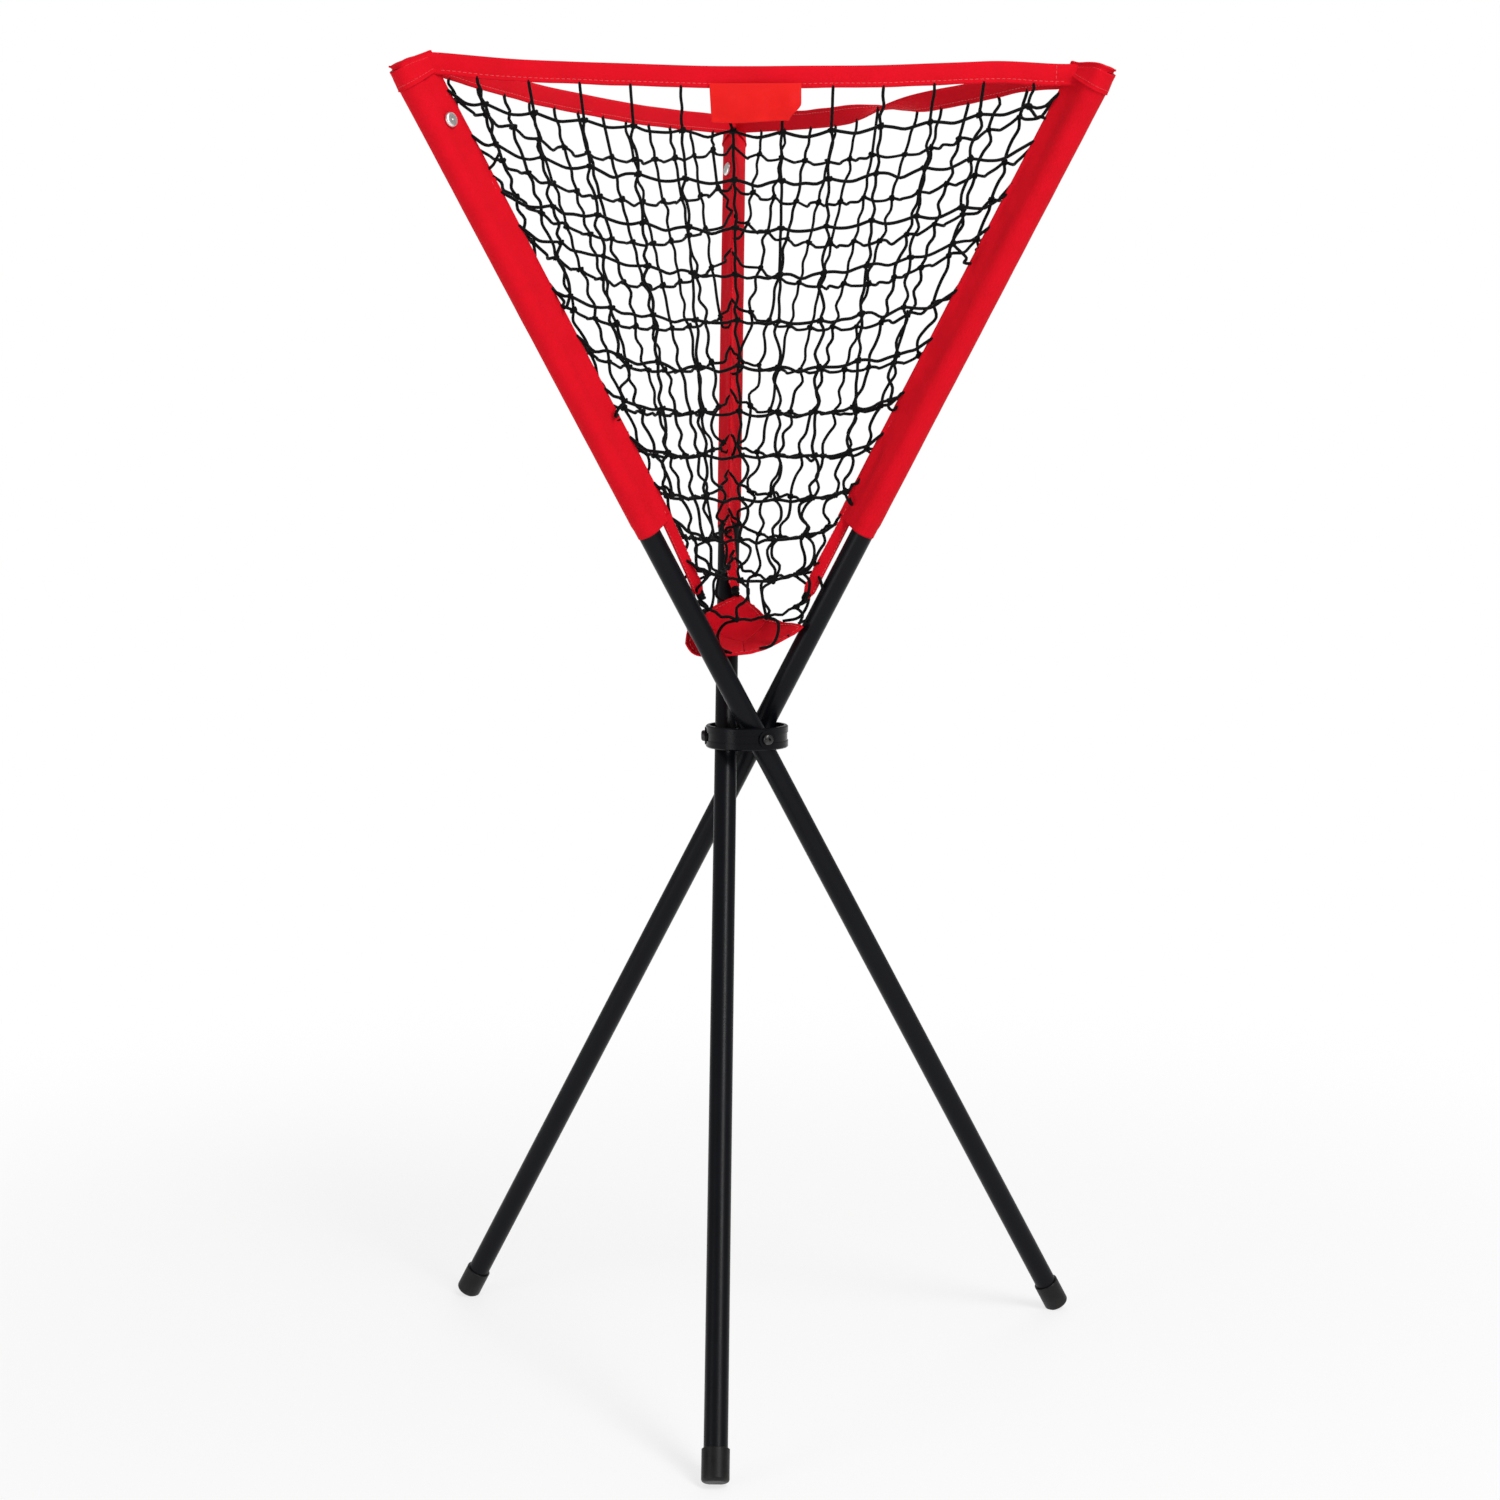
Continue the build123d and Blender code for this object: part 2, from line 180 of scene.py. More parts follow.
def build(name, lots, finishes):
    """One mesh object from lots of points and faces, with a finish for each lot."""
    points, faces, pattern, which = [], [], [], []
    for lot_points, lot_faces, lot_pattern, finish in lots:
        start = sum(len(p) for p in points)
        points.append(np.asarray(lot_points, float))
        faces += [tuple(start + i for i in face) for face in lot_faces]
        pattern += [corner_uv for face_uv in lot_pattern for corner_uv in face_uv]
        which += [finish] * len(lot_faces)
    mesh = bpy.data.meshes.new(name)
    mesh.from_pydata((np.concatenate(points) * MM).tolist(), [], faces)
    layer = mesh.uv_layers.new(name="pattern")
    layer.data.foreach_set("uv", np.array(pattern, np.float32).ravel())
    mesh.polygons.foreach_set("material_index", which)
    mesh.polygons.foreach_set("use_smooth", [True] * len(faces))
    for finish in finishes:
        mesh.materials.append(finish)
    capped = {key for face in mesh.polygons if len(face.vertices) > 4 for key in face.edge_keys}
    mesh.edges.foreach_set("use_edge_sharp", [edge.key in capped for edge in mesh.edges])
    piece = bpy.data.objects.new(name, mesh)
    bpy.context.scene.collection.objects.link(piece)
    return piece


def select_only(piece):
    """Selects one piece, because an operator acts on all that is selected."""
    bpy.ops.object.select_all(action="DESELECT")
    piece.select_set(True)
    bpy.context.view_layer.objects.active = piece


def face_outwards(piece):
    """Turns every face of a closed piece outwards."""
    select_only(piece)
    bpy.ops.object.mode_set(mode="EDIT")
    bpy.ops.mesh.select_all(action="SELECT")
    bpy.ops.mesh.normals_make_consistent(inside=False)
    bpy.ops.object.mode_set(mode="OBJECT")


def apply_modifier(piece, kind, **settings):
    """Adds a modifier to a piece and applies it."""
    modifier = piece.modifiers.new(kind.title(), kind)
    for key, value in settings.items():
        setattr(modifier, key, value)
    select_only(piece)
    bpy.ops.object.modifier_apply(modifier=modifier.name)


def unit(v):
    """Vectors of length 1."""
    v = np.asarray(v, float)
    return v / np.maximum(np.linalg.norm(v, axis=-1, keepdims=True), 1e-9)


def smoothstep(t):
    """A smooth rise from 0 to 1."""
    t = np.clip(t, 0, 1)
    return t * t * (3 - 2 * t)


def ripple(points, size, seed):
    """Smooth noise between -1 and 1 at points, with features of about that size in millimetres."""
    return np.array([noise.noise(Vector(p / size) + Vector((seed, 0, 0))) for p in points.reshape(-1, 3)]
                    ).reshape(points.shape[:-1])


print("mesh helpers are ready")

# %% [markdown]
# ## Thread and cord
# A stitch is a short bump of thread that dives into the cloth at both ends. A strand of net is a long
# thin tube. Both are rings of points round a line. The rings keep one side up as they go, so the
# tube doesn't twist where the line bends.

# %% Tubes along a line
def tube_lot(line, radius, sides=6, finish=0, ends=True):
    """A tube round a line of points. radius may be an array with one value for each point."""
    line = np.asarray(line, float)
    ahead = unit(np.gradient(line, axis=0))
    side = unit(np.cross(ahead[0], (0.3, 0.5, 0.81)))
    radius = np.broadcast_to(radius, len(line))
    angles = np.arange(sides) * 2 * math.pi / sides
    rings = []
    for point, forward, r in zip(line, ahead, radius):
        side = unit(side - forward * (side @ forward))
        up = np.cross(forward, side)
        rings.append(point + r * (np.cos(angles)[:, None] * side + np.sin(angles)[:, None] * up))
    return grid_lot(rings, around=True, ends=ends, finish=finish)


STITCH = 3.6
THREAD_R = 0.26


def stitches(line, normals, finish=1, pitch=STITCH):
    """Lots for a row of stitches along a line of points on cloth, with the cloth's normals there."""
    line, normals = np.asarray(line, float), unit(normals)
    gone = np.concatenate([[0], np.cumsum(np.linalg.norm(np.diff(line, axis=0), axis=1))])
    count = max(2, round(gone[-1] / pitch))
    lots = []
    for i in range(count):
        start = (i + 0.14) * gone[-1] / count
        at = start + np.array([0, 0.2, 0.5, 0.8, 1]) * 0.72 * gone[-1] / count
        middle = np.stack([np.interp(at, gone, line[:, k]) for k in range(3)], 1)
        up = unit(np.stack([np.interp(at, gone, normals[:, k]) for k in range(3)], 1))
        lift = np.array([-0.25, 0.08, 0.17, 0.08, -0.25])
        lots.append(tube_lot(middle + up * lift[:, None], [0.12, THREAD_R, THREAD_R, THREAD_R, 0.12],
                             sides=5, finish=finish))
    return lots


print("stitches are", STITCH, "mm apart")

# %% [markdown]
# ## Finishes
# Three effects come back in many finishes: a plain weave, a cloudy unevenness, and the fine grain
# of a moulded or coated surface. Each is a node group that gives out only values, so that every
# finish can use it with its own size. The shader itself stays in each material, with its plain
# numbers set on its own sockets.

# %% Node helpers
def add(tree, kind, inputs=None, **settings):
    """A new node with its settings. Inputs are values or the sockets that feed them."""
    made = tree.nodes.new(kind)
    for key, value in settings.items():
        setattr(made, key, value)
    for key, value in (inputs or {}).items():
        if isinstance(value, bpy.types.NodeSocket):
            tree.links.new(value, made.inputs[key])
        else:
            made.inputs[key].default_value = value
    return made


def math_node(tree, operation, first, second=0.0):
    """The result of one sum on values or sockets."""
    return add(tree, "ShaderNodeMath", {0: first, 1: second}, operation=operation).outputs[0]


def new_group(name, inputs, outputs):
    """An empty node group with named sockets: its tree, its inputs and a way to fill its outputs."""
    tree = bpy.data.node_groups.new(name, "ShaderNodeTree")
    for socket, (kind, value) in inputs.items():
        made = tree.interface.new_socket(socket, in_out="INPUT", socket_type=f"NodeSocket{kind}")
        if value is not None:
            made.default_value = value
    for socket in outputs:
        tree.interface.new_socket(socket, in_out="OUTPUT", socket_type="NodeSocketFloat")
    return tree, add(tree, "NodeGroupInput").outputs, add(tree, "NodeGroupOutput").inputs


def place_group(tree, group, inputs):
    """The outputs of a group placed in a material."""
    return add(tree, "ShaderNodeGroup", inputs, node_tree=group).outputs


print("node helpers are ready")

# %% [markdown]
# ### Plain weave
# In a plain weave every thread goes over one and under the next. Across the flat pattern, a thread's
# roundness is the positive part of a sine, and a checkerboard says which of the two crossing
# threads is on top.

# %% The weave group
weave, given, result = new_group(
    "plain weave", {"Pattern": ("Vector", None), "Threads per metre": ("Float", 1800.0)},
    ["Height"])
scaled = add(weave, "ShaderNodeVectorMath", {0: given["Pattern"], "Scale": given["Threads per metre"]},
             operation="SCALE").outputs[0]
axes = add(weave, "ShaderNodeSeparateXYZ", {0: scaled}).outputs
round_threads = []
for axis in (0, 1):
    wave = math_node(weave, "SINE", math_node(weave, "MULTIPLY", axes[axis], math.pi))
    round_threads.append(math_node(weave, "ABSOLUTE", wave))
checks = add(weave, "ShaderNodeTexChecker", {"Vector": scaled, "Scale": 1.0}).outputs["Fac"]
lying = []
for first, second in (round_threads, round_threads[::-1]):
    arch = math_node(weave, "MULTIPLY_ADD", second, 0.45)
    arch.node.inputs[2].default_value = 0.55
    lying.append(math_node(weave, "MULTIPLY", math_node(weave, "POWER", first, 0.6), arch))
top = add(weave, "ShaderNodeMix", {0: checks, 2: lying[0], 3: lying[1]}, data_type="FLOAT").outputs[0]
weave.links.new(top, result["Height"])
print("weave group has", len(weave.nodes), "nodes")

# %% [markdown]
# ### Clouds and grain
# Dye and powder coat never lie quite evenly, so a slow noise moves the colour a little. A coat or a
# mould leaves a fine pebbled skin, which is a fast noise used as height.

# %% The cloud and grain groups
cloud, given, result = new_group(
    "clouds", {"Vector": ("Vector", None), "Scale": ("Float", 20.0), "Contrast": ("Float", 1.0)},
    ["Value"])
slow = add(cloud, "ShaderNodeTexNoise", {"Vector": given["Vector"], "Scale": given["Scale"],
                                         "Detail": 5.0, "Roughness": 0.62})
centred = math_node(cloud, "SUBTRACT", slow.outputs[0], 0.5)
stretched = math_node(cloud, "MULTIPLY", centred, given["Contrast"])
level = add(cloud, "ShaderNodeMath", {0: stretched, 1: 0.5}, operation="ADD", use_clamp=True).outputs[0]
cloud.links.new(level, result["Value"])

grain, given, result = new_group(
    "fine grain", {"Vector": ("Vector", None), "Scale": ("Float", 900.0)}, ["Height"])
pebbles = add(grain, "ShaderNodeTexVoronoi", {"Vector": given["Vector"], "Scale": given["Scale"]},
              feature="SMOOTH_F1").outputs["Distance"]
mist = add(grain, "ShaderNodeTexNoise", {"Vector": given["Vector"], "Scale": given["Scale"],
                                         "Detail": 2.0}).outputs[0]
grain.links.new(math_node(grain, "ADD", pebbles, mist), result["Height"])


def clouds_in(tree, place, scale, contrast):
    """The clouds, placed in a material."""
    return place_group(tree, cloud, {"Vector": place, "Scale": scale, "Contrast": contrast})["Value"]


def grain_in(tree, place, scale):
    """The height of the fine grain, placed in a material."""
    return place_group(tree, grain, {"Vector": place, "Scale": scale})["Height"]


print("cloud and grain groups are ready")

# %% [markdown]
# ### One way to make a finish
# Every finish needs a shader, a colour that moves between two shades, a roughness that moves a
# little, and a bump. This helper takes the sockets that say how they move, and leaves everything
# that is the same all over on the shader's own sockets.

# %% The finish helper
def new_finish(name, **plain):
    """A material with its shader's plain values set: its tree and its shader."""
    material = bpy.data.materials.new(name)
    material.use_nodes = True
    tree = material.node_tree
    shader = tree.nodes["Principled BSDF"]
    for key, value in plain.items():
        shader.inputs[key.replace("_", " ")].default_value = value
    return material, tree, shader


def colour_between(tree, shader, factor, dark, light):
    """The shader's base colour moves between two shades."""
    mixed = add(tree, "ShaderNodeMix", {0: factor, 6: (*dark, 1), 7: (*light, 1)}, data_type="RGBA")
    tree.links.new(mixed.outputs[2], shader.inputs["Base Color"])


def roughness_between(tree, shader, factor, low, high):
    """The shader's roughness moves between two values."""
    spread = add(tree, "ShaderNodeMapRange", {"Value": factor, "To Min": low, "To Max": high})
    tree.links.new(spread.outputs[0], shader.inputs["Roughness"])


def bump(tree, shader, height, distance, strength=1.0, under=None):
    """A bump of that depth in metres, on top of another bump if there is one."""
    made = add(tree, "ShaderNodeBump", {"Height": height, "Distance": distance, "Strength": strength})
    if under is not None:
        tree.links.new(under, made.inputs["Normal"])
    tree.links.new(made.outputs[0], shader.inputs["Normal"])
    return made.outputs[0]


def place_in(tree):
    """A piece's own coordinates, which don't move when it does."""
    return add(tree, "ShaderNodeTexCoord").outputs["Object"]


print("finish helper is ready")

# %% [markdown]
# ### Red cloth
# The corners, the rim and the patch are cut from one coated polyester cloth. It is a dense plain
# weave, evenly dyed, with a soft sheen at grazing angles and a slightly cloudy surface where the
# coating is thicker. The colour is also darker in the gaps of the weave, as painted shade.
# Cloth is darker where it folds in, which the light does by itself.

# %% The red cloth
def cloth_finish(name, dark, light, threads, weave_depth, rough, **plain):
    """A woven cloth: weave on the flat pattern, clouds on the piece's own coordinates."""
    material, tree, shader = new_finish(name, **plain)
    pattern = add(tree, "ShaderNodeUVMap", uv_map="pattern").outputs[0]
    place = place_in(tree)
    woven = place_group(tree, weave, {"Pattern": pattern, "Threads per metre": threads})["Height"]
    clouds = clouds_in(tree, place, 45.0, 1.5)
    slubs = clouds_in(tree, place, 700.0, 1.3)
    # The weave's height lightens the tops of the threads and darkens the gaps between them: painted shade
    # in the weave. The clouds and slubs are uneven tone in the dye.
    groove_shade_and_tone = math_node(tree, "MULTIPLY_ADD", woven, 0.35)
    tree.links.new(math_node(tree, "MULTIPLY", clouds, 0.45), groove_shade_and_tone.node.inputs[2])
    groove_shade_and_tone = math_node(tree, "ADD", groove_shade_and_tone, math_node(tree, "MULTIPLY", slubs, 0.2))
    colour_between(tree, shader, groove_shade_and_tone, dark, light)
    roughness_between(tree, shader, clouds, *rough)
    soft = bump(tree, shader, clouds, 0.0006, 0.5)
    bump(tree, shader, woven, weave_depth, 0.7, under=soft)
    return material


red_cloth = cloth_finish("red_cloth", (0.48, 0.0016, 0.0070), (0.74, 0.0045, 0.017), 1700.0, 0.00012,
                         (0.66, 0.84), Sheen_Weight=0.05, Sheen_Roughness=0.4,
                         Sheen_Tint=(1.0, 0.2, 0.18, 1), Specular_IOR_Level=0.07)
print("red cloth has", len(red_cloth.node_tree.nodes), "nodes")

# %% [markdown]
# ### Satin label, red thread, black twine
# The flap under the front rim is a smoother, more orange satin ribbon. The stitching is a thread a
# little brighter than the cloth. The net's twine is twisted nylon: three strands wound round each
# other, which shows as slanting ridges along each cord. On thread and twine the twist also sets the
# colour, lighter on the crests and darker in the grooves, as painted shade.

# %% The label, thread and twine
label_cloth = cloth_finish("label_cloth", (0.55, 0.005, 0.005), (0.76, 0.011, 0.010), 2600.0, 0.00005,
                           (0.45, 0.6), Sheen_Weight=0.03, Sheen_Roughness=0.3,
                           Specular_IOR_Level=0.1)

thread_red, tree, shader = new_finish("thread_red", Sheen_Weight=0.2, Specular_IOR_Level=0.5)
pattern = add(tree, "ShaderNodeUVMap", uv_map="pattern").outputs[0]
ply = add(tree, "ShaderNodeTexWave", {"Vector": pattern, "Scale": 900.0, "Distortion": 0.5},
          bands_direction="DIAGONAL").outputs["Fac"]
# The twist's wave paints the plies lighter on their crests and darker in the grooves between them: painted
# shade.
colour_between(tree, shader, ply, (0.52, 0.02, 0.03), (0.84, 0.05, 0.065))
roughness_between(tree, shader, ply, 0.4, 0.6)
bump(tree, shader, ply, 0.0001, 0.6)

TWINE_R = 1.15
twine, tree, shader = new_finish("net_twine", Sheen_Weight=0.02, Sheen_Roughness=0.5,
                                 Specular_IOR_Level=0.08)
pattern = add(tree, "ShaderNodeUVMap", uv_map="pattern").outputs[0]
axes = add(tree, "ShaderNodeSeparateXYZ", {0: pattern}).outputs
around = math_node(tree, "MULTIPLY", axes[0], 3 / (2 * math.pi * TWINE_R * MM))
forward = math_node(tree, "MULTIPLY", axes[1], 1 / 0.0042)
twist = math_node(tree, "MULTIPLY", math_node(tree, "ADD", around, forward), 2 * math.pi)
ridges = math_node(tree, "MULTIPLY_ADD", math_node(tree, "SINE", twist), 0.5)
ridges.node.inputs[2].default_value = 0.5
fuzz = clouds_in(tree, place_in(tree), 260.0, 2.0)
# The ridges paint the twine lighter on its strands' crests and darker in the grooves between them, as
# painted shade. The fuzz varies the tone at random.
groove_shade_and_tone = math_node(tree, "MULTIPLY", ridges, fuzz)
colour_between(tree, shader, groove_shade_and_tone, (0.0012, 0.0012, 0.0014), (0.006, 0.006, 0.0068))
roughness_between(tree, shader, fuzz, 0.55, 0.8)
bump(tree, shader, ridges, 0.00025, 0.8)
print("label, thread and twine are ready")

# %% [markdown]
# ### Powder-coated steel
# The tubes are steel with a black satin powder coat. The coat has a faint orange peel and reflects
# a broad soft stripe of light. Grass dust dulls it near the feet, so the roughness follows the
# height as well as a noise.

# %% The tubes
tube_coat, tree, shader = new_finish("tube_black", Specular_IOR_Level=0.13)
place = place_in(tree)
peel = grain_in(tree, place, 520.0)
clouds = clouds_in(tree, place, 28.0, 1.6)
height = add(tree, "ShaderNodeSeparateXYZ", {0: place}).outputs[2]
low_down = add(tree, "ShaderNodeMapRange",
               {"Value": height, "From Min": 0.16, "From Max": 0.0}).outputs[0]
dust = math_node(tree, "MULTIPLY", low_down, clouds)
colour_between(tree, shader, math_node(tree, "MULTIPLY_ADD", clouds, 0.4),
               (0.0010, 0.0012, 0.0020), (0.0036, 0.0040, 0.0060))
worn = math_node(tree, "ADD", math_node(tree, "MULTIPLY", clouds, 0.5),
                 math_node(tree, "MULTIPLY", dust, 0.6))
roughness_between(tree, shader, worn, 0.30, 0.44)
bump(tree, shader, peel, 0.00004, 0.5)
print("tube coat has", len(tree.nodes), "nodes")

# %% [markdown]
# ### Rubber, moulded nylon and small metal parts
# The feet are soft rubber with a matt, slightly dusty skin. The ring and saddles are moulded nylon
# with a spark-eroded grain. The bolts and nuts are black oxide steel, whose edges and faces shine
# a little through the oxide. The washers are plain white nylon, and the snaps are nickel plated.

# %% The small parts
rubber, tree, shader = new_finish("foot_rubber", Specular_IOR_Level=0.2)
place = place_in(tree)
skin = grain_in(tree, place, 1400.0)
clouds = clouds_in(tree, place, 90.0, 1.8)
height = add(tree, "ShaderNodeSeparateXYZ", {0: place}).outputs[2]
sole = add(tree, "ShaderNodeMapRange", {"Value": height, "From Min": 0.012, "From Max": 0.0}).outputs[0]
scuffed = math_node(tree, "MULTIPLY", sole, clouds)
colour_between(tree, shader, math_node(tree, "ADD", scuffed, math_node(tree, "MULTIPLY", clouds, 0.25)),
               (0.003, 0.003, 0.0033), (0.026, 0.024, 0.022))
roughness_between(tree, shader, clouds, 0.32, 0.55)
bump(tree, shader, skin, 0.00006, 0.6)

moulded, tree, shader = new_finish("hub_plastic", Specular_IOR_Level=0.10)
place = place_in(tree)
skin = grain_in(tree, place, 1900.0)
clouds = clouds_in(tree, place, 70.0, 1.5)
colour_between(tree, shader, math_node(tree, "MULTIPLY", clouds, 0.6),
               (0.0012, 0.0013, 0.0022), (0.005, 0.0052, 0.0075))
roughness_between(tree, shader, clouds, 0.14, 0.28)
bump(tree, shader, skin, 0.00005, 0.5)

oxide, tree, shader = new_finish("bolt_steel", Metallic=1.0)
place = place_in(tree)
clouds = clouds_in(tree, place, 400.0, 2.0)
turned = grain_in(tree, place, 2500.0)
colour_between(tree, shader, clouds, (0.018, 0.018, 0.020), (0.10, 0.097, 0.094))
roughness_between(tree, shader, clouds, 0.22, 0.42)
bump(tree, shader, turned, 0.00003, 0.4)

nylon, tree, shader = new_finish("washer_nylon", Specular_IOR_Level=0.5, Subsurface_Weight=0.15,
                                 Subsurface_Scale=0.002)
clouds = clouds_in(tree, place_in(tree), 300.0, 1.5)
colour_between(tree, shader, clouds, (0.66, 0.63, 0.56), (0.78, 0.75, 0.68))
roughness_between(tree, shader, clouds, 0.35, 0.5)

nickel, tree, shader = new_finish("snap_nickel", Metallic=1.0)
place = place_in(tree)
hairlines = add(tree, "ShaderNodeTexNoise", {"Vector": place, "Scale": 2200.0, "Detail": 3.0}).outputs[0]
clouds = clouds_in(tree, place, 350.0, 1.8)
colour_between(tree, shader, clouds, (0.72, 0.71, 0.69), (0.86, 0.85, 0.83))
roughness_between(tree, shader, hairlines, 0.30, 0.46)
bump(tree, shader, hairlines, 0.00003, 0.4)
print("rubber, moulded nylon, oxide, washer and nickel are ready")

# %% [markdown]
# ### Finishes on the hard parts
# A CAD node whose shape is right stays, and only its material slots are filled.

# %% Give the hard parts their finishes
NODE_FINISH = {"leg_tube": tube_coat, "foot_cap": rubber, "top_plug": moulded, "pivot_bolt": oxide,
               "pivot_nut": oxide, "pivot_saddle": moulded, "pivot_washer": nylon, "snap_cap": nickel,
               "snap_stud": nickel, "hub_ring": moulded}
for name, node_object in nodes.items():
    kind = name if name in NODE_FINISH else name[:-2]
    if kind in NODE_FINISH:
        if not node_object.material_slots:
            node_object.data.materials.append(NODE_FINISH[kind])
        for slot in node_object.material_slots:
            slot.material = NODE_FINISH[kind]
print("hard parts finished:", sum(name[:-2] in NODE_FINISH or name in NODE_FINISH for name in nodes))

# %% [markdown]
# ## Sleeves
# Each upper tube runs in a sleeve: one piece of cloth laid round the tube, whose two edges are sewn
# together into a flat flange that holds the net. Round the tube the cloth is tight, and between the
# tube and the seam it runs straight, with room to wave a little. So its section is a circle
# and two tangents. It is made as one strip from flange to flange, row by row up the tube, and
# Solidify gives it the thickness of the cloth.

# %% The section of a sleeve
def section(radius, seam, edge, gap=0.45, steps=26):
    """x and y of cloth wrapped round a tube, from the flange's edge, round the tube and back."""
    bearing = math.pi / 2 - math.atan2(gap, seam) - math.acos(radius / math.hypot(seam, gap))
    start, end = bearing, -math.pi - bearing
    angle = np.linspace(start, end, steps)
    round_part = np.stack([np.cos(angle), np.sin(angle)], 1) * radius
    straight = np.linspace((gap, seam), round_part[0], 8)[1:-1]
    flange = np.linspace((gap, edge), (gap, seam), 4)
    side = np.concatenate([flange, straight])
    return np.concatenate([side, round_part, (side * (-1, 1))[::-1]])


def section_normals(points):
    """Directions out of a section, in its own plane."""
    ahead = unit(np.gradient(points, axis=0))
    return np.stack([-ahead[:, 1], ahead[:, 0]], 1)


def looseness(points, radius, seam):
    """0 where the cloth is held, by the tube or by the seam, and 1 half way between them."""
    y = points[:, 1]
    return np.clip(np.minimum((y - radius * 0.5) / 5, (seam - y) / 3.5), 0, 1)


WRAP_R = TUBE_R + 0.1 + CLOTH / 2
base = section(WRAP_R, SEAM, FLANGE)
print("a sleeve's section has", len(base), "points and is",
      round(np.linalg.norm(np.diff(base, axis=0), axis=1).sum()), "mm round")

# %% [markdown]
# The front left sleeve gets slimmer towards its hem and the front right one wider, because the cloth
# was cut by hand. Slow noise waves the free part, a faster one puckers the cloth beside its seam
# where the thread pulls it, and the last few millimetres are a turned hem, which stands out by
# half a thickness of cloth. The closed top slopes down towards the basket, most at the front right.

# %% The sleeves
HEM = 8.0
ROW = 3.4
SEAM_GROWS = {"a": 0.0, "b": -0.6, "c": 1.0}
TOP_FALL = {"a": 4.0, "b": 3.5, "c": 9.0}


def top_fall(leg, y):
    """How much lower than square the sleeve's closed top runs, at a distance towards the basket."""
    return TOP_FALL[leg] * smoothstep((y + 2) / 28)


def sleeve_point_rows(leg, seed):
    """The cloth's rows of points up the tube, and its normals, in the leg's own frame."""
    rows, normals = [], []
    evenly = np.arange(SLEEVE_LOW + ROW, SLEEVE_HIGH - 1.4, ROW)
    for z in np.concatenate([[SLEEVE_LOW, SLEEVE_LOW + 1.2], evenly, [SLEEVE_HIGH - 1.2]]):
        low = np.clip((SLEEVE_HIGH - 60 - z) / 250, 0, 1)
        seam = SEAM + SEAM_GROWS[leg] * low
        points = section(WRAP_R, seam, seam + FLANGE - SEAM)
        away = -section_normals(points)
        loose = looseness(points, TUBE_R, seam)
        at = np.column_stack([points, np.full(len(points), z)])
        wave = ripple(at * (1, 1, 0.35), 11, seed) * 1.5 + ripple(at * (1, 1, 1.6), 9, seed + 40) * 0.45
        pucker = np.exp(-((points[:, 1] - seam) / 2.2) ** 2) * 0.22 * math.sin(z * 2 * math.pi / STITCH)
        pucker += np.exp(-((points[:, 1] - seam) / 4.5) ** 2) * 0.5 * noise.noise(Vector((seed, 0, z / 17)))
        tight = ripple(at, 16, seed + 9) * 0.12 * (1 - loose)
        hem = 0.42 * smoothstep((SLEEVE_LOW + HEM + 0.8 - z) / 1.6)
        push = loose * np.clip(wave + 0.5, -0.5, 2.2) + pucker + tight + hem
        push[:3] = push[:3].clip(-0.1, 0.4)
        push[-3:] = push[-3:].clip(-0.1, 0.4)
        points = points + away * push[:, None]
        fall = top_fall(leg, points[:, 1]) * smoothstep((z - SLEEVE_HIGH + 34) / 32)
        rows.append(np.column_stack([points, z - fall]))
        normals.append(np.column_stack([away, np.zeros(len(away))]))
    return np.array(rows), np.array(normals)


def to_object(leg, points):
    """Points of a leg's own frame, in the object's frame."""
    return pivot[leg] + np.asarray(points) @ turn[leg]


for seed, leg in enumerate(LEGS):
    rows, normals = sleeve_point_rows(leg, 10.0 * seed + 3)
    sleeve = build(f"cloth_sleeve_{leg}", [grid_lot(to_object(leg, rows))], [red_cloth])
    apply_modifier(sleeve, "SOLIDIFY", thickness=CLOTH * MM, offset=0, use_quality_normals=True)
    sewing = []
    for column in (3, -4):
        line = rows[:, column] + normals[:, column] * CLOTH / 2
        sewing += stitches(to_object(leg, line[1:-3]), normals[1:-3, column] @ turn[leg])
    hem_row = rows[3] + normals[3] * (CLOTH / 2 + 0.02)
    sewing += stitches(to_object(leg, hem_row[4:-4]), normals[3][4:-4] @ turn[leg])
    thread = build(f"sleeve_thread_{leg}", sewing, [thread_red, thread_red])
    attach(sleeve, f"leg_{leg}")
    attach(thread, f"leg_{leg}")
    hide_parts(f"sleeve_{leg}")
    around = np.linalg.norm(np.diff(rows[5], axis=0), axis=1).sum()
    print("sleeve", leg, len(sleeve.data.polygons), "faces,", len(sewing), "stitches")

# %% [markdown]
# ## Corner cuffs
# The top of each sleeve is closed by a cuff: a folded strip about 15 mm high that wraps the sleeve's
# end, is sewn flat over the top and pinches the ends of two rim bands in its flange. It sticks out
# a little past the sleeve at the outer corner. It is a ring of section rows that first climbs
# the sleeve, rolls over its own top edge and then closes towards the middle of the section.

# %% The cuffs
CUFF_LOW, CUFF_HIGH = LEG_UP - 11.5, SLEEVE_HIGH + 1.6


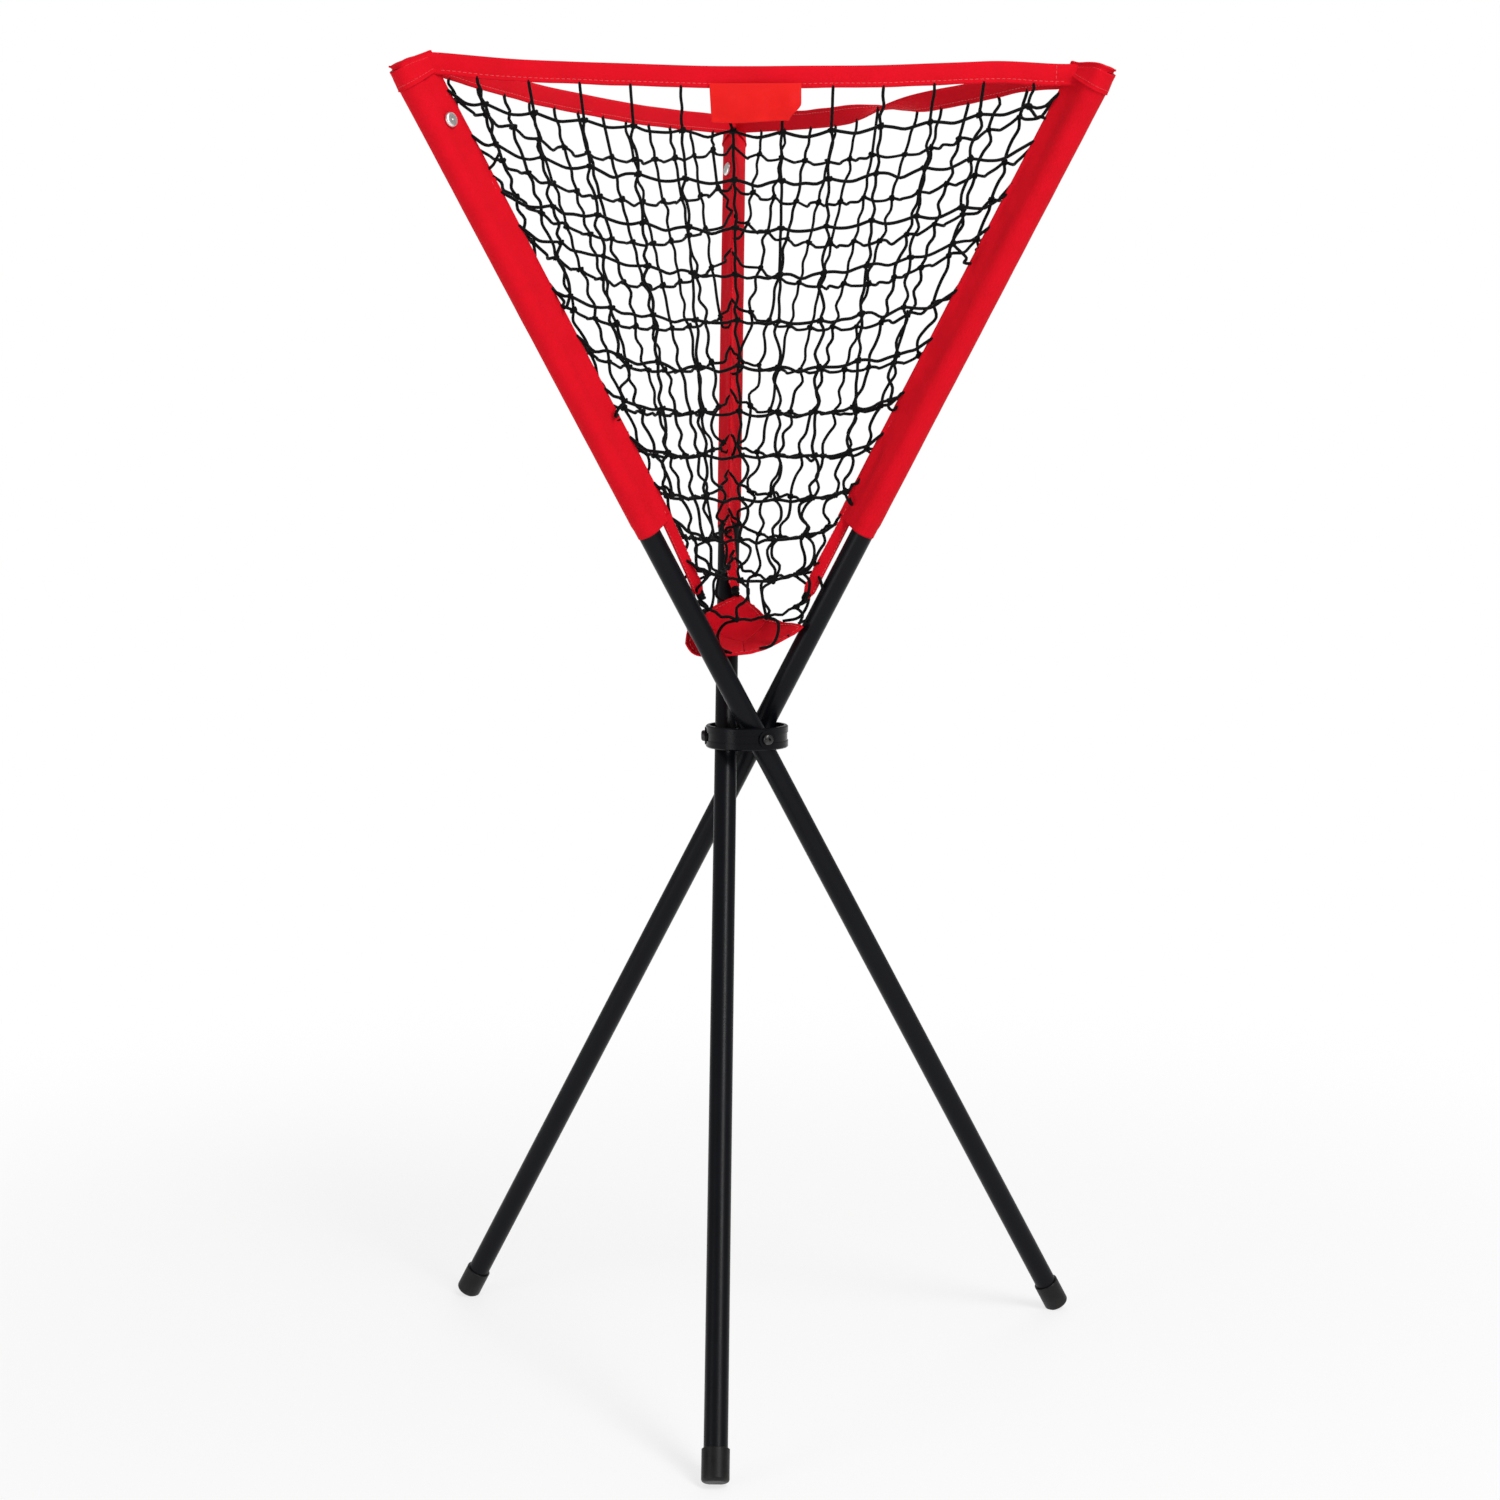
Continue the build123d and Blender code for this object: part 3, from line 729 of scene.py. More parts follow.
def cuff_rows(leg, seed):
    """Rows of points of a cuff in the leg's own frame, from its lower edge to its closed top."""
    outside = section(TUBE_R + 0.1 + CLOTH + 0.75, SEAM + 0.6, CORNER + 0.3, gap=2.35, steps=30)
    away = -section_normals(outside)
    plan = [(0.0, -0.35), (0.6, 0.0), (2.6, 0.12), (3.2, 0.22), (5.5, 0.45), (8.5, 0.5), (11.0, 0.35),
            (12.4, 0.62), (13.6, 0.75), (14.8, 0.45), (15.4, -0.2)]
    top = CUFF_HIGH - CUFF_LOW
    rows = []
    for up, push in plan:
        z = CUFF_LOW + up * top / 15.4
        spread = push * np.ones(len(outside))
        at = np.column_stack([outside, np.full(len(outside), z)])
        spread += ripple(at, 7, seed) * 0.55 * (1 - up / 22)
        lip = smoothstep((up - 8) / 6) * 2.3 * smoothstep((-outside[:, 1] - 1) / 8)
        fall = top_fall(leg, outside[:, 1]) * smoothstep(up / 13)
        rows.append(np.column_stack([outside + away * (spread + lip)[:, None], at[:, 2] - fall]))
    edge, spine = rows[-1][:, :2], np.zeros((len(outside), 2))
    spine[:, 1] = outside[:, 1] * 0.8
    for share, rise in ((0.82, 0.35), (0.6, 0.55), (0.35, 0.5), (0.1, 0.15)):
        flat = edge * (share, 0.35 + 0.65 * share) + spine * (0, 0.65 * (1 - share))
        at = np.column_stack([flat, np.full(len(flat), CUFF_HIGH)])
        high = rise + ripple(at, 8, seed + 5) * 0.7 - top_fall(leg, flat[:, 1])
        rows.append(at + np.column_stack([0 * flat, high]))
    return np.array(rows)


for seed, leg in enumerate(LEGS):
    rows = cuff_rows(leg, 7.0 * seed + 2)
    cuff = build(f"corner_cuff_{leg}", [grid_lot(to_object(leg, rows), around=True)], [red_cloth])
    face_outwards(cuff)
    apply_modifier(cuff, "SUBSURF", levels=1, render_levels=1)
    apply_modifier(cuff, "SOLIDIFY", thickness=0.7 * MM, offset=-1)
    sewing = []
    for sewn in (rows[2], rows[7]):
        away = np.column_stack([-section_normals(sewn[:, :2]), np.zeros(len(sewn))])
        sewing += stitches(to_object(leg, sewn + away * 0.1), away @ turn[leg], pitch=3.2)
    thread = build(f"cuff_thread_{leg}", sewing, [thread_red, thread_red])
    for piece in (cuff, thread):
        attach(piece, f"leg_{leg}")
    print("cuff", leg, len(cuff.data.polygons), "faces")

# %% [markdown]
# ## Where the net's sides end
# Everything between two legs has to gather when the legs fold: the cloth beside a leg moves with
# the leg, and the cloth half way between two legs stays with the ring. So each side is made as two
# halves. A side's edges run down beside its two legs, from the sleeves' flanges past the tapes'
# ends to the patch's corners, and its middle lies half way between them at each height.

# %% Edges and middles of the sides
patch_points = vertices("bottom_patch")
patch_corner, edge_line = {}, {}
CORNER_PULL = {"a": (-6, 0, 5), "b": (-3, 0, 0), "c": (0, 0, 0)}
for leg in LEGS:
    reach = (patch_points - AXIS) @ unit(turn[leg][2] * (1, 1, 0))
    patch_corner[leg] = patch_points[np.argsort(-reach)[:2]].mean(0) + CORNER_PULL[leg]
    tape = own(leg, f"corner_tape_{leg}")
    low = tape[:, 2] < tape[:, 2].min() + 1
    tape_end = in_leg(leg, tape[low, 0].mean(), tape[low, 1].max(), tape[:, 2].min())
    knots = [patch_corner[leg] + (0, 0, 2), tape_end, in_leg(leg, 0, FLANGE - 1, SLEEVE_LOW),
             in_leg(leg, 0, FLANGE - 1, SLEEVE_HIGH)]
    if knots[1][2] < knots[0][2] + 3:
        del knots[1]
    edge_line[leg] = np.array(knots)
    print("leg", leg, "patch corner", patch_corner[leg].round(), "knots", len(knots))


def edge(leg, height):
    """The net's edge beside a leg, at heights."""
    line = edge_line[leg]
    return np.stack([np.interp(height, line[:, 2], line[:, k]) for k in range(3)], -1)


def side_at(side, height):
    """Middle, half width and direction of a side between its two edges, at heights."""
    first, second = (edge(leg, height) for leg in SIDES[side])
    return (first + second) / 2, np.linalg.norm(second - first, axis=-1) / 2, unit(second - first)


def gather(piece):
    """Bakes the piece's placement into its points."""
    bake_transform(piece)


def points_of(piece):
    """A piece's points, in millimetres."""
    return np.array([v.co for v in piece.data.vertices]) / MM


for side in SIDES:
    print(side, "half width at the rim", side_at(side, RIM_TOP)[1].round(), "at the hems",
          side_at(side, in_leg("a", 0, FLANGE, SLEEVE_LOW)[2])[1].round())

# %% [markdown]
# ## Rim bands
# Along the top of each side runs a band: a strip of cloth folded double, sewn along its lower edge
# to catch the net, with its ends sewn into the corner cuffs. It hangs in a shallow curve and
# waves a little. Its section is a flat loop, fuller at the fold on top and pinched along the
# stitching. The right-hand band behind was sewn in with a half turn, so it twists over itself on its
# way to the back corner. Each band is made as two halves that meet at the side's middle.

# %% The band's section and path
SHARE_UP = np.array([0.0, 0.05, 0.14, 0.2, 0.27, 0.45, 0.65, 0.84, 0.95, 1.0])
HALF_THICK = np.array([0.25, 0.7, 0.72, 0.5, 0.78, 0.98, 1.02, 0.95, 0.66, 0.2])
BAND_LOOP = np.concatenate([np.column_stack([HALF_THICK, SHARE_UP]),
                            np.column_stack([-HALF_THICK, SHARE_UP])[::-1]])
TWIST = {"right": (0.30, 0.69)}
END_FALL = {"a": 0.0, "b": -1.0, "c": 4.5}
PLEAT = 0.974
SIDE_SEED = {"front": 4.0, "right": 15.0, "left": 26.0}


def band_line(side, share):
    """A band's middle line at shares of its side, with the side's way out and its length."""
    first, second = SIDES[side]
    ends = [corner(leg, RIM_TOP) for leg in (first, second)]
    length = np.linalg.norm(ends[1] - ends[0])
    along = unit(ends[1] - ends[0])
    out = np.cross(along, (0, 0, 1))
    out *= np.sign(out @ (ends[0] - AXIS))
    share = np.asarray(share, float)
    sag = RIM_SAG * (1 - (2 * share - 1) ** 2) + 0.4
    sag += (END_FALL[first] * smoothstep(1 - share * 7)
            + END_FALL[second] * smoothstep(1 - (1 - share) * 7))
    line = ends[0] + share[:, None] * (ends[1] - ends[0]) - sag[:, None] * (0, 0, 1)
    line += out * (ripple(line, 90, SIDE_SEED[side]) * 2.2 * smoothstep(6 * share * (1 - share)))[:, None]
    line[:, 2] += ripple(line, 60, SIDE_SEED[side] + 3) * 0.9
    for leg, end, from_end in ((first, ends[0], share * length), (second, ends[1], (1 - share) * length)):
        side_of = 1.0 if (along if leg == first else -along) @ turn[leg][0] > 0 else -1.0
        tucked = in_leg(leg, 1.05 * side_of, CORNER - 4.5, 0)
        target = tucked + turn[leg][2] * ((RIM_TOP - 0.4 - tucked[2]) / turn[leg][2][2])
        near = np.clip(1 - from_end / 7.0, 0, 1)[:, None]
        line = line + near * near * (target - end)
    return line, out, length


def band_rows(side, share):
    """The band's rows of points at shares of the side."""
    line, out, length = band_line(side, share)
    heading = unit(np.gradient(line, axis=0))
    down = unit(np.array((0, 0, -1.0)) + heading * heading[:, 2:3])
    across = np.cross(heading, down)
    across *= np.sign((across * out).sum(1, keepdims=True))
    lean = ripple(line, 45, SIDE_SEED[side] + 7) * 0.10
    if side in TWIST:
        start, end = TWIST[side]
        lean = lean + math.pi * smoothstep((share - start) / (end - start))
        start_end = smoothstep((share - start) / 0.06) * smoothstep((end - share) / 0.06)
        lean += 0.25 * start_end * ripple(line, 30, 77)
    rows = []
    for k, point in enumerate(line):
        middle = point + down[k] * RIM_H / 2
        c, s = math.cos(lean[k]), math.sin(lean[k])
        d, a = down[k] * c + across[k] * s, across[k] * c - down[k] * s
        puff = 1 + 0.25 * noise.noise(Vector((share[k] * length / 19, SIDE_SEED[side], 1)))
        if side == "front":
            puff += 1.1 * smoothstep((share[k] - PLEAT + 0.004) / 0.006)
        low = -RIM_H / 2 + noise.noise(Vector((share[k] * length / 26, SIDE_SEED[side], 5))) * 0.6
        high = RIM_H / 2
        loop = [middle - d * (low + (high - low) * up) + a * thick * puff for thick, up in BAND_LOOP]
        rows.append(loop)
    return np.array(rows)


print("a band's section has", len(BAND_LOOP), "points")

# %% [markdown]
# The stitches sit in the pinched line on both faces.

# %% The bands
for side, (first, second) in SIDES.items():
    for leg, shares in ((first, np.linspace(0, 0.5, 72)), (second, np.linspace(0.5, 1, 72))):
        rows = band_rows(side, shares)
        face = np.cross(rows[1, 2] - rows[0, 2], rows[0, 5] - rows[0, 2])
        inward = face @ (rows[0, 2] - rows[0].mean(0)) < 0
        pinch = [int(np.argmin(np.abs(BAND_LOOP[:, 1] - 0.2) + (np.sign(BAND_LOOP[:, 0]) != face)))
                 for face in (1, -1)]
        lots = [grid_lot(rows[:, ::-1] if inward else rows, around=True, ends=True)]
        for column in pinch:
            line = rows[:, column]
            away = unit(line - rows[:, pinch].mean(1))
            lots += stitches(line[2:-2] + away[2:-2] * 0.05, away[2:-2])
        if side == "front" and leg == second:
            seam = rows[np.argmin(np.abs(shares - PLEAT))]
            lots += stitches(seam[1:9], seam[1:9] - seam[18:10:-1], pitch=3.0)
        band = build(f"rim_{side}_{leg}", lots, [red_cloth, thread_red])
        gather(band)
        print(band.name, len(band.data.polygons), "faces")
    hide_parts(f"rim_band_{side}")

# %% [markdown]
# ## The net
# The basket's sides are knotted twine in a square mesh of about 33 by 30 mm. Nobody pulls it
# tight: every mesh side is a little longer than the gap it spans, more so towards the bottom, where
# the sides come together. So it isn't drawn but hung. Each side starts as a flat
# lattice that is tied to the rim, to both sleeves and to the patch. Then its points fall and
# are pulled back to their cords' lengths, over and over, until it rests. The lattice is
# narrowed towards the bottom, and a tied row end sits higher than the row's middle.

# %% The lattice of one side
MESH_WIDE, MESH_HIGH = 33.5, 29.5
PARTS = 4
FIRST_COLUMN = {"front": 18.5, "right": 4.0, "left": -9.0}
rng = np.random.default_rng(20)


def band_bottom(side, lateral):
    """A point inside the band's lower hem, at a distance from the side's middle."""
    first, second = SIDES[side]
    length = np.linalg.norm(corner(second, RIM_TOP) - corner(first, RIM_TOP))
    share = np.clip(0.5 + np.atleast_1d(lateral) / length, 0.03, 0.97)
    rows = band_rows(side, np.concatenate([[0.0], share, [1.0]]))[1:-1]
    low = rows[:, [0, 1, -1, -2]].mean(1)
    if side in TWIST:
        high = rows[:, [8, 9, 10, 11]].mean(1)
        low = np.where((low[:, 2] < high[:, 2])[:, None], low, high)
    return low + (0, 0, 1.2)


def lattice(side):
    """Nodes of the net on a side, the cords between them, and which nodes are tied."""
    first, second = SIDES[side]
    top = RIM_TOP - RIM_SAG - RIM_H
    low = max(patch_corner[leg][2] for leg in (first, second)) + 4
    levels = np.arange(top - 25, low, -MESH_HIGH)
    places, tied, cords = [], [], []

    def new(point, fixed):
        places.append(np.asarray(point, float))
        tied.append(fixed)
        return len(places) - 1

    columns = FIRST_COLUMN[side] + MESH_WIDE * np.arange(-7, 7)
    columns = columns[np.abs(columns) < side_at(side, top)[1] - 6]
    grid = {}
    for j, level in enumerate(levels):
        lift = np.interp(level, (690, 790), (3, 22)) * (1 + 0.15 * rng.standard_normal())
        narrow = np.interp(level, (low, top), (0.60, 1.0))
        half = side_at(side, level)[1]
        row = []
        for i, lateral in enumerate(columns * narrow):
            if abs(lateral) > half - 5:
                continue
            up = level + lift * 0.92 * (lateral / half) ** 2
            middle, _, along = side_at(side, up)
            grid[i, j] = new(middle + along * lateral, False)
            row.append((lateral, grid[i, j]))
        ends = []
        for leg in (first, second):
            height = min(level + lift + 2 * rng.standard_normal(), top - 2)
            ends.append(new(edge(leg, height), True))
        chain = [ends[0]] + [k for _, k in sorted(row)] + [ends[1]]
        cords += [(a, b, "row") for a, b in zip(chain, chain[1:])]
    rims = band_bottom(side, columns)
    for i, lateral in enumerate(columns):
        chain = [new(rims[i], True)]
        for j, level in enumerate(levels):
            if (i, j) in grid:
                chain.append(grid[i, j])
            elif j:
                break
        if len(chain) > 1 and (i, len(levels) - 1) not in grid:
            last = places[chain[-1]]
            leg = second if lateral > 0 else first
            chain.append(new(edge(leg, last[2] - rng.uniform(9, 20)), True))
        elif (i, len(levels) - 1) in grid:
            ends = [patch_corner[leg] for leg in (first, second)]
            share = np.clip(0.5 + lateral * 0.6 / np.linalg.norm(ends[1] - ends[0]), 0.06, 0.94)
            chain.append(new(patch_edge(side, share), True))
        cords += [(a, b, "column") for a, b in zip(chain, chain[1:])]
    return np.array(places), np.array(tied), cords


print("net meshes are", MESH_WIDE, "by", MESH_HIGH, "mm")

# %% [markdown]
# ## The bottom patch's shape
# The net ends on a three-cornered patch of cloth. It hangs from its corners in a shallow cup, and
# its front edge sags most. A surface over three kites, one for each corner, gives both its
# place and the place of the net's lowest ties.

# %% The patch's surface
PATCH_SAG = {"front": 13.0, "right": 5.0, "left": -3.0}
PATCH_OUT = {"front": 0.0, "right": -2.0, "left": 13.0}
CUP = 15.0
BLUNT = {"a": 0.0, "b": 9.0, "c": 1.5}


def side_between(leg, other):
    """The name of the side between two legs."""
    return next(side for side, pair in SIDES.items() if {leg, other} == set(pair))


def kite(leg, u, v):
    """Points of the patch's third at a leg: u and v are 0 at its middle, and 1 and 1 at its corner."""
    others = [other for other in LEGS if other != leg]
    middle = np.mean([patch_corner[k] for k in LEGS], axis=0)
    halves = [(patch_corner[leg] + patch_corner[k]) / 2 for k in others]
    outward = [PATCH_OUT[side_between(leg, k)] for k in others]
    halves = [h - unit((middle - h) * (1, 1, 0)) * far for h, far in zip(halves, outward)]
    u, v = np.asarray(u, float)[..., None], np.asarray(v, float)[..., None]
    flat = ((1 - u) * (1 - v) * middle + u * (1 - v) * halves[0] + v * (1 - u) * halves[1]
            + u * v * patch_corner[leg])
    drops = [PATCH_SAG[side_between(leg, k)] for k in others]
    sag = ((1 - u ** 2) * (1 - v ** 2) * CUP + u ** 2 * (1 - v ** 2) * drops[0]
           + v ** 2 * (1 - u ** 2) * drops[1])
    blunt = BLUNT[leg] * np.tanh((u - v) * 7) * (u * v) ** 2
    return flat - (sag - blunt) * (0, 0, 1)


def patch_edge(side, share):
    """A point of the patch's edge on a side, just above its hem."""
    first, second = SIDES[side]
    leg, other = (first, second) if share < 0.5 else (second, first)
    t = abs(share - 0.5) * 2
    others = [k for k in LEGS if k != leg]
    return kite(leg, *((1.0, t) if others[0] == other else (t, 1.0))) + (0, 0, 1.0)


print("the patch's lowest point is", round(kite("b", 0.6, 0.2)[2], 1), "mm up")

# %% [markdown]
# ### Hanging the net
# The cords are divided into short parts. Twine keeps some of the shape it had round its knots, so
# every cord starts with a small curve of its own, and its rest length is measured from a slack that
# grows downwards. The rest is a plain rope simulation. In each step every free point keeps most of
# its speed and falls a little, in millimetres, and then the lengths of all parts are corrected at
# once, several times, each point moving by a little more than the mean of what its cords ask. The
# twine's stiffness is how strongly the distance over two parts is kept.

# %% The simulation
STEPS, PULLS = 60, 14
FALL, CARRY = 0.03, 0.9
STIFFNESS = 0.45
PUSH = 1.2


def hang(side):
    """The resting points of a side's net, its cords as lists of points, and its knots."""
    places, tied, cords = lattice(side)
    points, fixed, parts, rest, chains = list(places), list(tied), [], [], []
    out = unit(np.cross(side_at(side, 800)[2], (0, 0, 1)))
    for a, b, kind in cords:
        start, end = places[a], places[b]
        span = np.linalg.norm(end - start)
        slack = np.interp((start[2] + end[2]) / 2, (560, 700, 900), (0.17, 0.115, 0.06))
        slack *= rng.uniform(0.5, 1.5) * (0.8 if kind == "row" else 1.0)
        bulge = span * math.sqrt(slack) * 0.55
        sideways = np.array((0, 0, -1.0)) if kind == "row" else side_at(side, start[2])[2]
        sign = rng.choice((-1, 1)) if kind == "column" else rng.choice((1, 1, 1, -0.6))
        depth = rng.normal(0, 0.35)
        chain = [a]
        for k in range(1, PARTS):
            t = k / PARTS
            curve = math.sin(math.pi * t)
            if kind == "column":
                curve = math.sin(2 * math.pi * t) * 0.5 + 0.6 * curve
            points.append(start + (end - start) * t + bulge * curve * (sideways * sign + out * depth))
            fixed.append(False)
            chain.append(len(points) - 1)
        chain.append(b)
        chains.append((chain, kind))
        for p, q in zip(chain, chain[1:]):
            parts.append((p, q))
            rest.append(span * (1 + slack) / PARTS)
    points, fixed, parts, rest = np.array(points), np.array(fixed), np.array(parts), np.array(rest)
    bends = np.array([(c[k], c[k + 2]) for c, _ in chains for k in range(len(c) - 2)])
    bend_rest = np.linalg.norm(points[bends[:, 0]] - points[bends[:, 1]], axis=1)
    speed, free = np.zeros_like(points), ~fixed
    joined = np.concatenate([parts, bends])
    lengths = np.concatenate([rest, bend_rest])
    stiff = np.concatenate([np.ones(len(parts)), np.full(len(bends), STIFFNESS)])
    counts = np.maximum(np.bincount(joined.ravel(), minlength=len(points)), 1)[:, None] * 0.5
    for _ in range(STEPS):
        before = points.copy()
        points[free] += speed[free] * CARRY + (0, 0, -FALL)
        for _ in range(PULLS):
            gap = points[joined[:, 1]] - points[joined[:, 0]]
            now = np.linalg.norm(gap, axis=1)
            pull = gap * (stiff * 0.5 * (now - lengths) / np.maximum(now, 1e-6))[:, None]
            move = np.zeros_like(points)
            np.add.at(move, joined[:, 0], pull)
            np.add.at(move, joined[:, 1], -pull)
            points[free] += (move / counts)[free] * PUSH
        speed = points - before
    crossings = [k for k in range(len(places)) if not tied[k]]
    stretch = np.linalg.norm(points[parts[:, 0]] - points[parts[:, 1]], axis=1).sum() / rest.sum()
    print("net", side, len(cords), "cords,", len(crossings), "knots, stretched", round(stretch, 3))
    return points, chains, crossings


nets = {side: hang(side) for side in SIDES}

# %% [markdown]
# ### Twine and knots
# The simulated points are far apart, so a smooth curve is run through each whole strand before it
# becomes a tube. A knot is a small lump wrapped slantwise round the crossing. There are nearly
# three hundred of them, so each has only 42 faces: rings of points whose radius swells and pinches
# round a tilted axis.

# %% Strands and knots
def smooth_line(points, step=2.6):
    """A Catmull-Rom curve through points, with a point every few millimetres."""
    points = np.asarray(points, float)
    padded = np.concatenate([[2 * points[0] - points[1]], points, [2 * points[-1] - points[-2]]])
    made = []
    for p0, p1, p2, p3 in zip(padded, padded[1:], padded[2:], padded[3:]):
        count = max(1, round(np.linalg.norm(p2 - p1) / step))
        for t in np.arange(count) / count:
            made.append(0.5 * (2 * p1 + (p2 - p0) * t + (2 * p0 - 5 * p1 + 4 * p2 - p3) * t ** 2
                               + (3 * p1 - p0 - 3 * p2 + p3) * t ** 3))
    return np.array(made + [points[-1]])


def strands(chains):
    """Whole strands: mesh sides joined end to end while they belong to one row or column."""
    lines = []
    for chain, kind in chains:
        if lines and lines[-1][1] == kind and lines[-1][0][-1] == chain[0]:
            lines[-1][0].extend(chain[1:])
        else:
            lines.append([list(chain), kind])
    return [line for line, _ in lines]


def knot_lot(point, forward, size=1.0):
    """A knot: a lump of two slanting wraps round a crossing."""
    forward = unit(forward)
    side = unit(np.cross(forward, (0.2, 0.9, 0.4)))
    up = np.cross(forward, side)
    rings = []
    for t, r in ((-2.3, 0.5), (-1.5, 1.75), (-0.35, 1.5), (0.45, 1.85), (1.4, 1.65), (2.2, 0.5)):
        angles = np.arange(8) * math.pi / 4 + 0.5 * t
        swell = 1 + 0.18 * np.cos(2 * angles + t)
        slant = 0.55 * np.cos(angles) * (abs(t) < 2)
        spokes = side * np.cos(angles)[:, None] + up * np.sin(angles)[:, None]
        lump = forward * (t + slant)[:, None] + spokes * (r * swell)[:, None]
        rings.append(point + size * TWINE_R * lump)
    return grid_lot(rings, around=True, ends=True)


def cut_at_middle(side, line):
    """A strand in two lists of lines, one for each half of its side, cut where it crosses the middle."""
    middle, _, along = side_at(side, line[:, 2])
    lateral = ((line - middle) * along).sum(1)
    halves = ([], [])
    start = 0
    for k in range(1, len(line) + 1):
        if k == len(line) or (lateral[k] > 0) != (lateral[start] > 0):
            piece, half = line[start:k].copy(), int(lateral[start] > 0)
            if k < len(line):
                share = lateral[k - 1] / (lateral[k - 1] - lateral[k])
                crossing = line[k - 1] + share * (line[k] - line[k - 1])
                piece = np.concatenate([piece, [crossing]])
                start = k - 1
                line[start], lateral[start] = crossing, lateral[k]
            halves[half].append(piece)
    return halves


for side, (points, chains, crossings) in nets.items():
    lots = {0: [], 1: []}
    for chain in strands(chains):
        for half, lines in enumerate(cut_at_middle(side, smooth_line(points[chain]))):
            lots[half] += [tube_lot(line, TWINE_R, sides=6) for line in lines if len(line) > 2]
    rows = {chain[0]: chain[1] for chain, kind in chains if kind == "row"}
    for k in crossings:
        middle, _, along = side_at(side, points[k][2])
        forward = points[rows[k]] - points[k] if k in rows else along
        half = int((points[k] - middle) @ along > 0)
        slanted = unit(forward) + rng.normal(0, 0.35, 3)
        lots[half].append(knot_lot(points[k], slanted, rng.uniform(0.9, 1.1)))
    for half, leg in enumerate(SIDES[side]):
        net = build(f"net_{side}_{leg}", lots[half], [twine])
        gather(net)
        print(net.name, len(net.data.polygons), "faces")
    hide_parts(f"net_panel_{side}")

# %% [markdown]
# ## Corner tapes
# Below each hem a narrow folded tape goes on down beside the tube to where the net is tied together.
# It is the end of the sleeve's binding, so it comes out from under the hem, twists a
# little, and ends in a knot of black twine. Knots like that are several wraps of cord, made from
# small rings of tube that lie across each other.

# %% The tapes and their knots
def bundle_lots(point, forward, size, seed):
    """Wraps of twine round a point: small rings of tube, each tilted its own way."""
    picks = np.random.default_rng(seed)
    lots = []
    for k in range(5):
        normal = unit(unit(forward) + picks.normal(0, 0.45, 3))
        side = unit(np.cross(normal, (0.3, 0.2, 0.9)))
        up = np.cross(normal, side)
        angles = np.linspace(0, 2 * math.pi, 13)[:, None]
        turn_round = side * np.cos(angles) + up * np.sin(angles)
        ring = point + forward * (k - 2) * 0.75 * size + turn_round * 1.7 * size
        lots.append(tube_lot(ring, TWINE_R * 0.8, sides=5))
    return lots


TAPE_ROWS = 26
TAPE_TWIST = {"a": 1.25, "b": 0.1, "c": -0.3}
TAPE_SHIFT = {"a": np.array((1.0, 2.0, 0)), "b": np.zeros(3), "c": np.zeros(3)}
TAPE_END = {"a": (0.0, 2.6), "b": (4.0, 7.5), "c": (0.0, 4.0)}
for seed, leg in enumerate(LEGS):
    node_points = own(leg, f"corner_tape_{leg}")
    high = node_points[node_points[:, 2] > node_points[:, 2].max() - 1]
    low = node_points[node_points[:, 2] < node_points[:, 2].min() + 1]
    ends = []
    for end in (high, low):
        ends.append([(end[:, 0].mean(), y, end[:, 2].mean()) for y in (end[:, 1].min(), end[:, 1].max())])
    (t0, t1), (l0, l1) = np.array(ends)
    t0, t1 = t0 + (0, 0, 5), t1 + (0, 0, 5)
    l0, l1 = l0 + (0, TAPE_END[leg][0], 0), l1 + (0, TAPE_END[leg][1], 0)
    rows = []
    for t in np.linspace(0, 1, TAPE_ROWS):
        start, end = t0 + (l0 - t0) * t, t1 + (l1 - t1) * t
        wide = (end - start) * (1 - 0.45 * smoothstep((t - 0.9) / 0.1))
        middle = (start + end) / 2 + (0.9 * math.sin(3 * t + seed), 0, 0)
        twist = TAPE_TWIST[leg] * smoothstep(t / 0.45) + 0.2 * math.sin(4.2 * t + 2 * seed)
        middle = middle + TAPE_SHIFT[leg] * smoothstep(t / 0.45)
        across = unit(wide) * math.cos(twist) + np.array((1, 0, 0)) * math.sin(twist)
        thick = np.cross(unit(l0 - t0), across) * 0.62
        width = np.linalg.norm(wide) / 2
        loop = [(-1, 0.35), (-0.97, 1.0), (-0.7, 0.8), (0, 1.1), (0.7, 0.85), (0.97, 1.0), (1, 0.3),
                (1, -0.3), (0.97, -1.0), (0.7, -0.85), (0, -1.0), (-0.7, -0.8), (-0.97, -1.0), (-1, -0.35)]
        wave = 0.35 * noise.noise(Vector((t * 5, seed, 2)))
        rows.append([middle + across * width * x + thick * (y + wave * x) for x, y in loop])
    rows = to_object(leg, np.array(rows))
    lots = [grid_lot(rows, around=True, ends=True)]
    for column, other in ((2, 11), (5, 8)):
        for face, back in ((column, other), (other, column)):
            line = rows[:, face]
            lots += stitches(line[3:-2], (line - rows[:, back])[3:-2], pitch=3.0)
    tape = build(f"tape_{leg}", lots, [red_cloth, thread_red])
    face_outwards(tape)
    tip = rows[-1].mean(0)
    knot = build(f"tape_knot_{leg}", bundle_lots(tip, unit(tip - rows[-3].mean(0)), 1.4, seed), [twine])
    for piece in (tape, knot):
        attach(piece, f"leg_{leg}")
    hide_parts(f"corner_tape_{leg}")
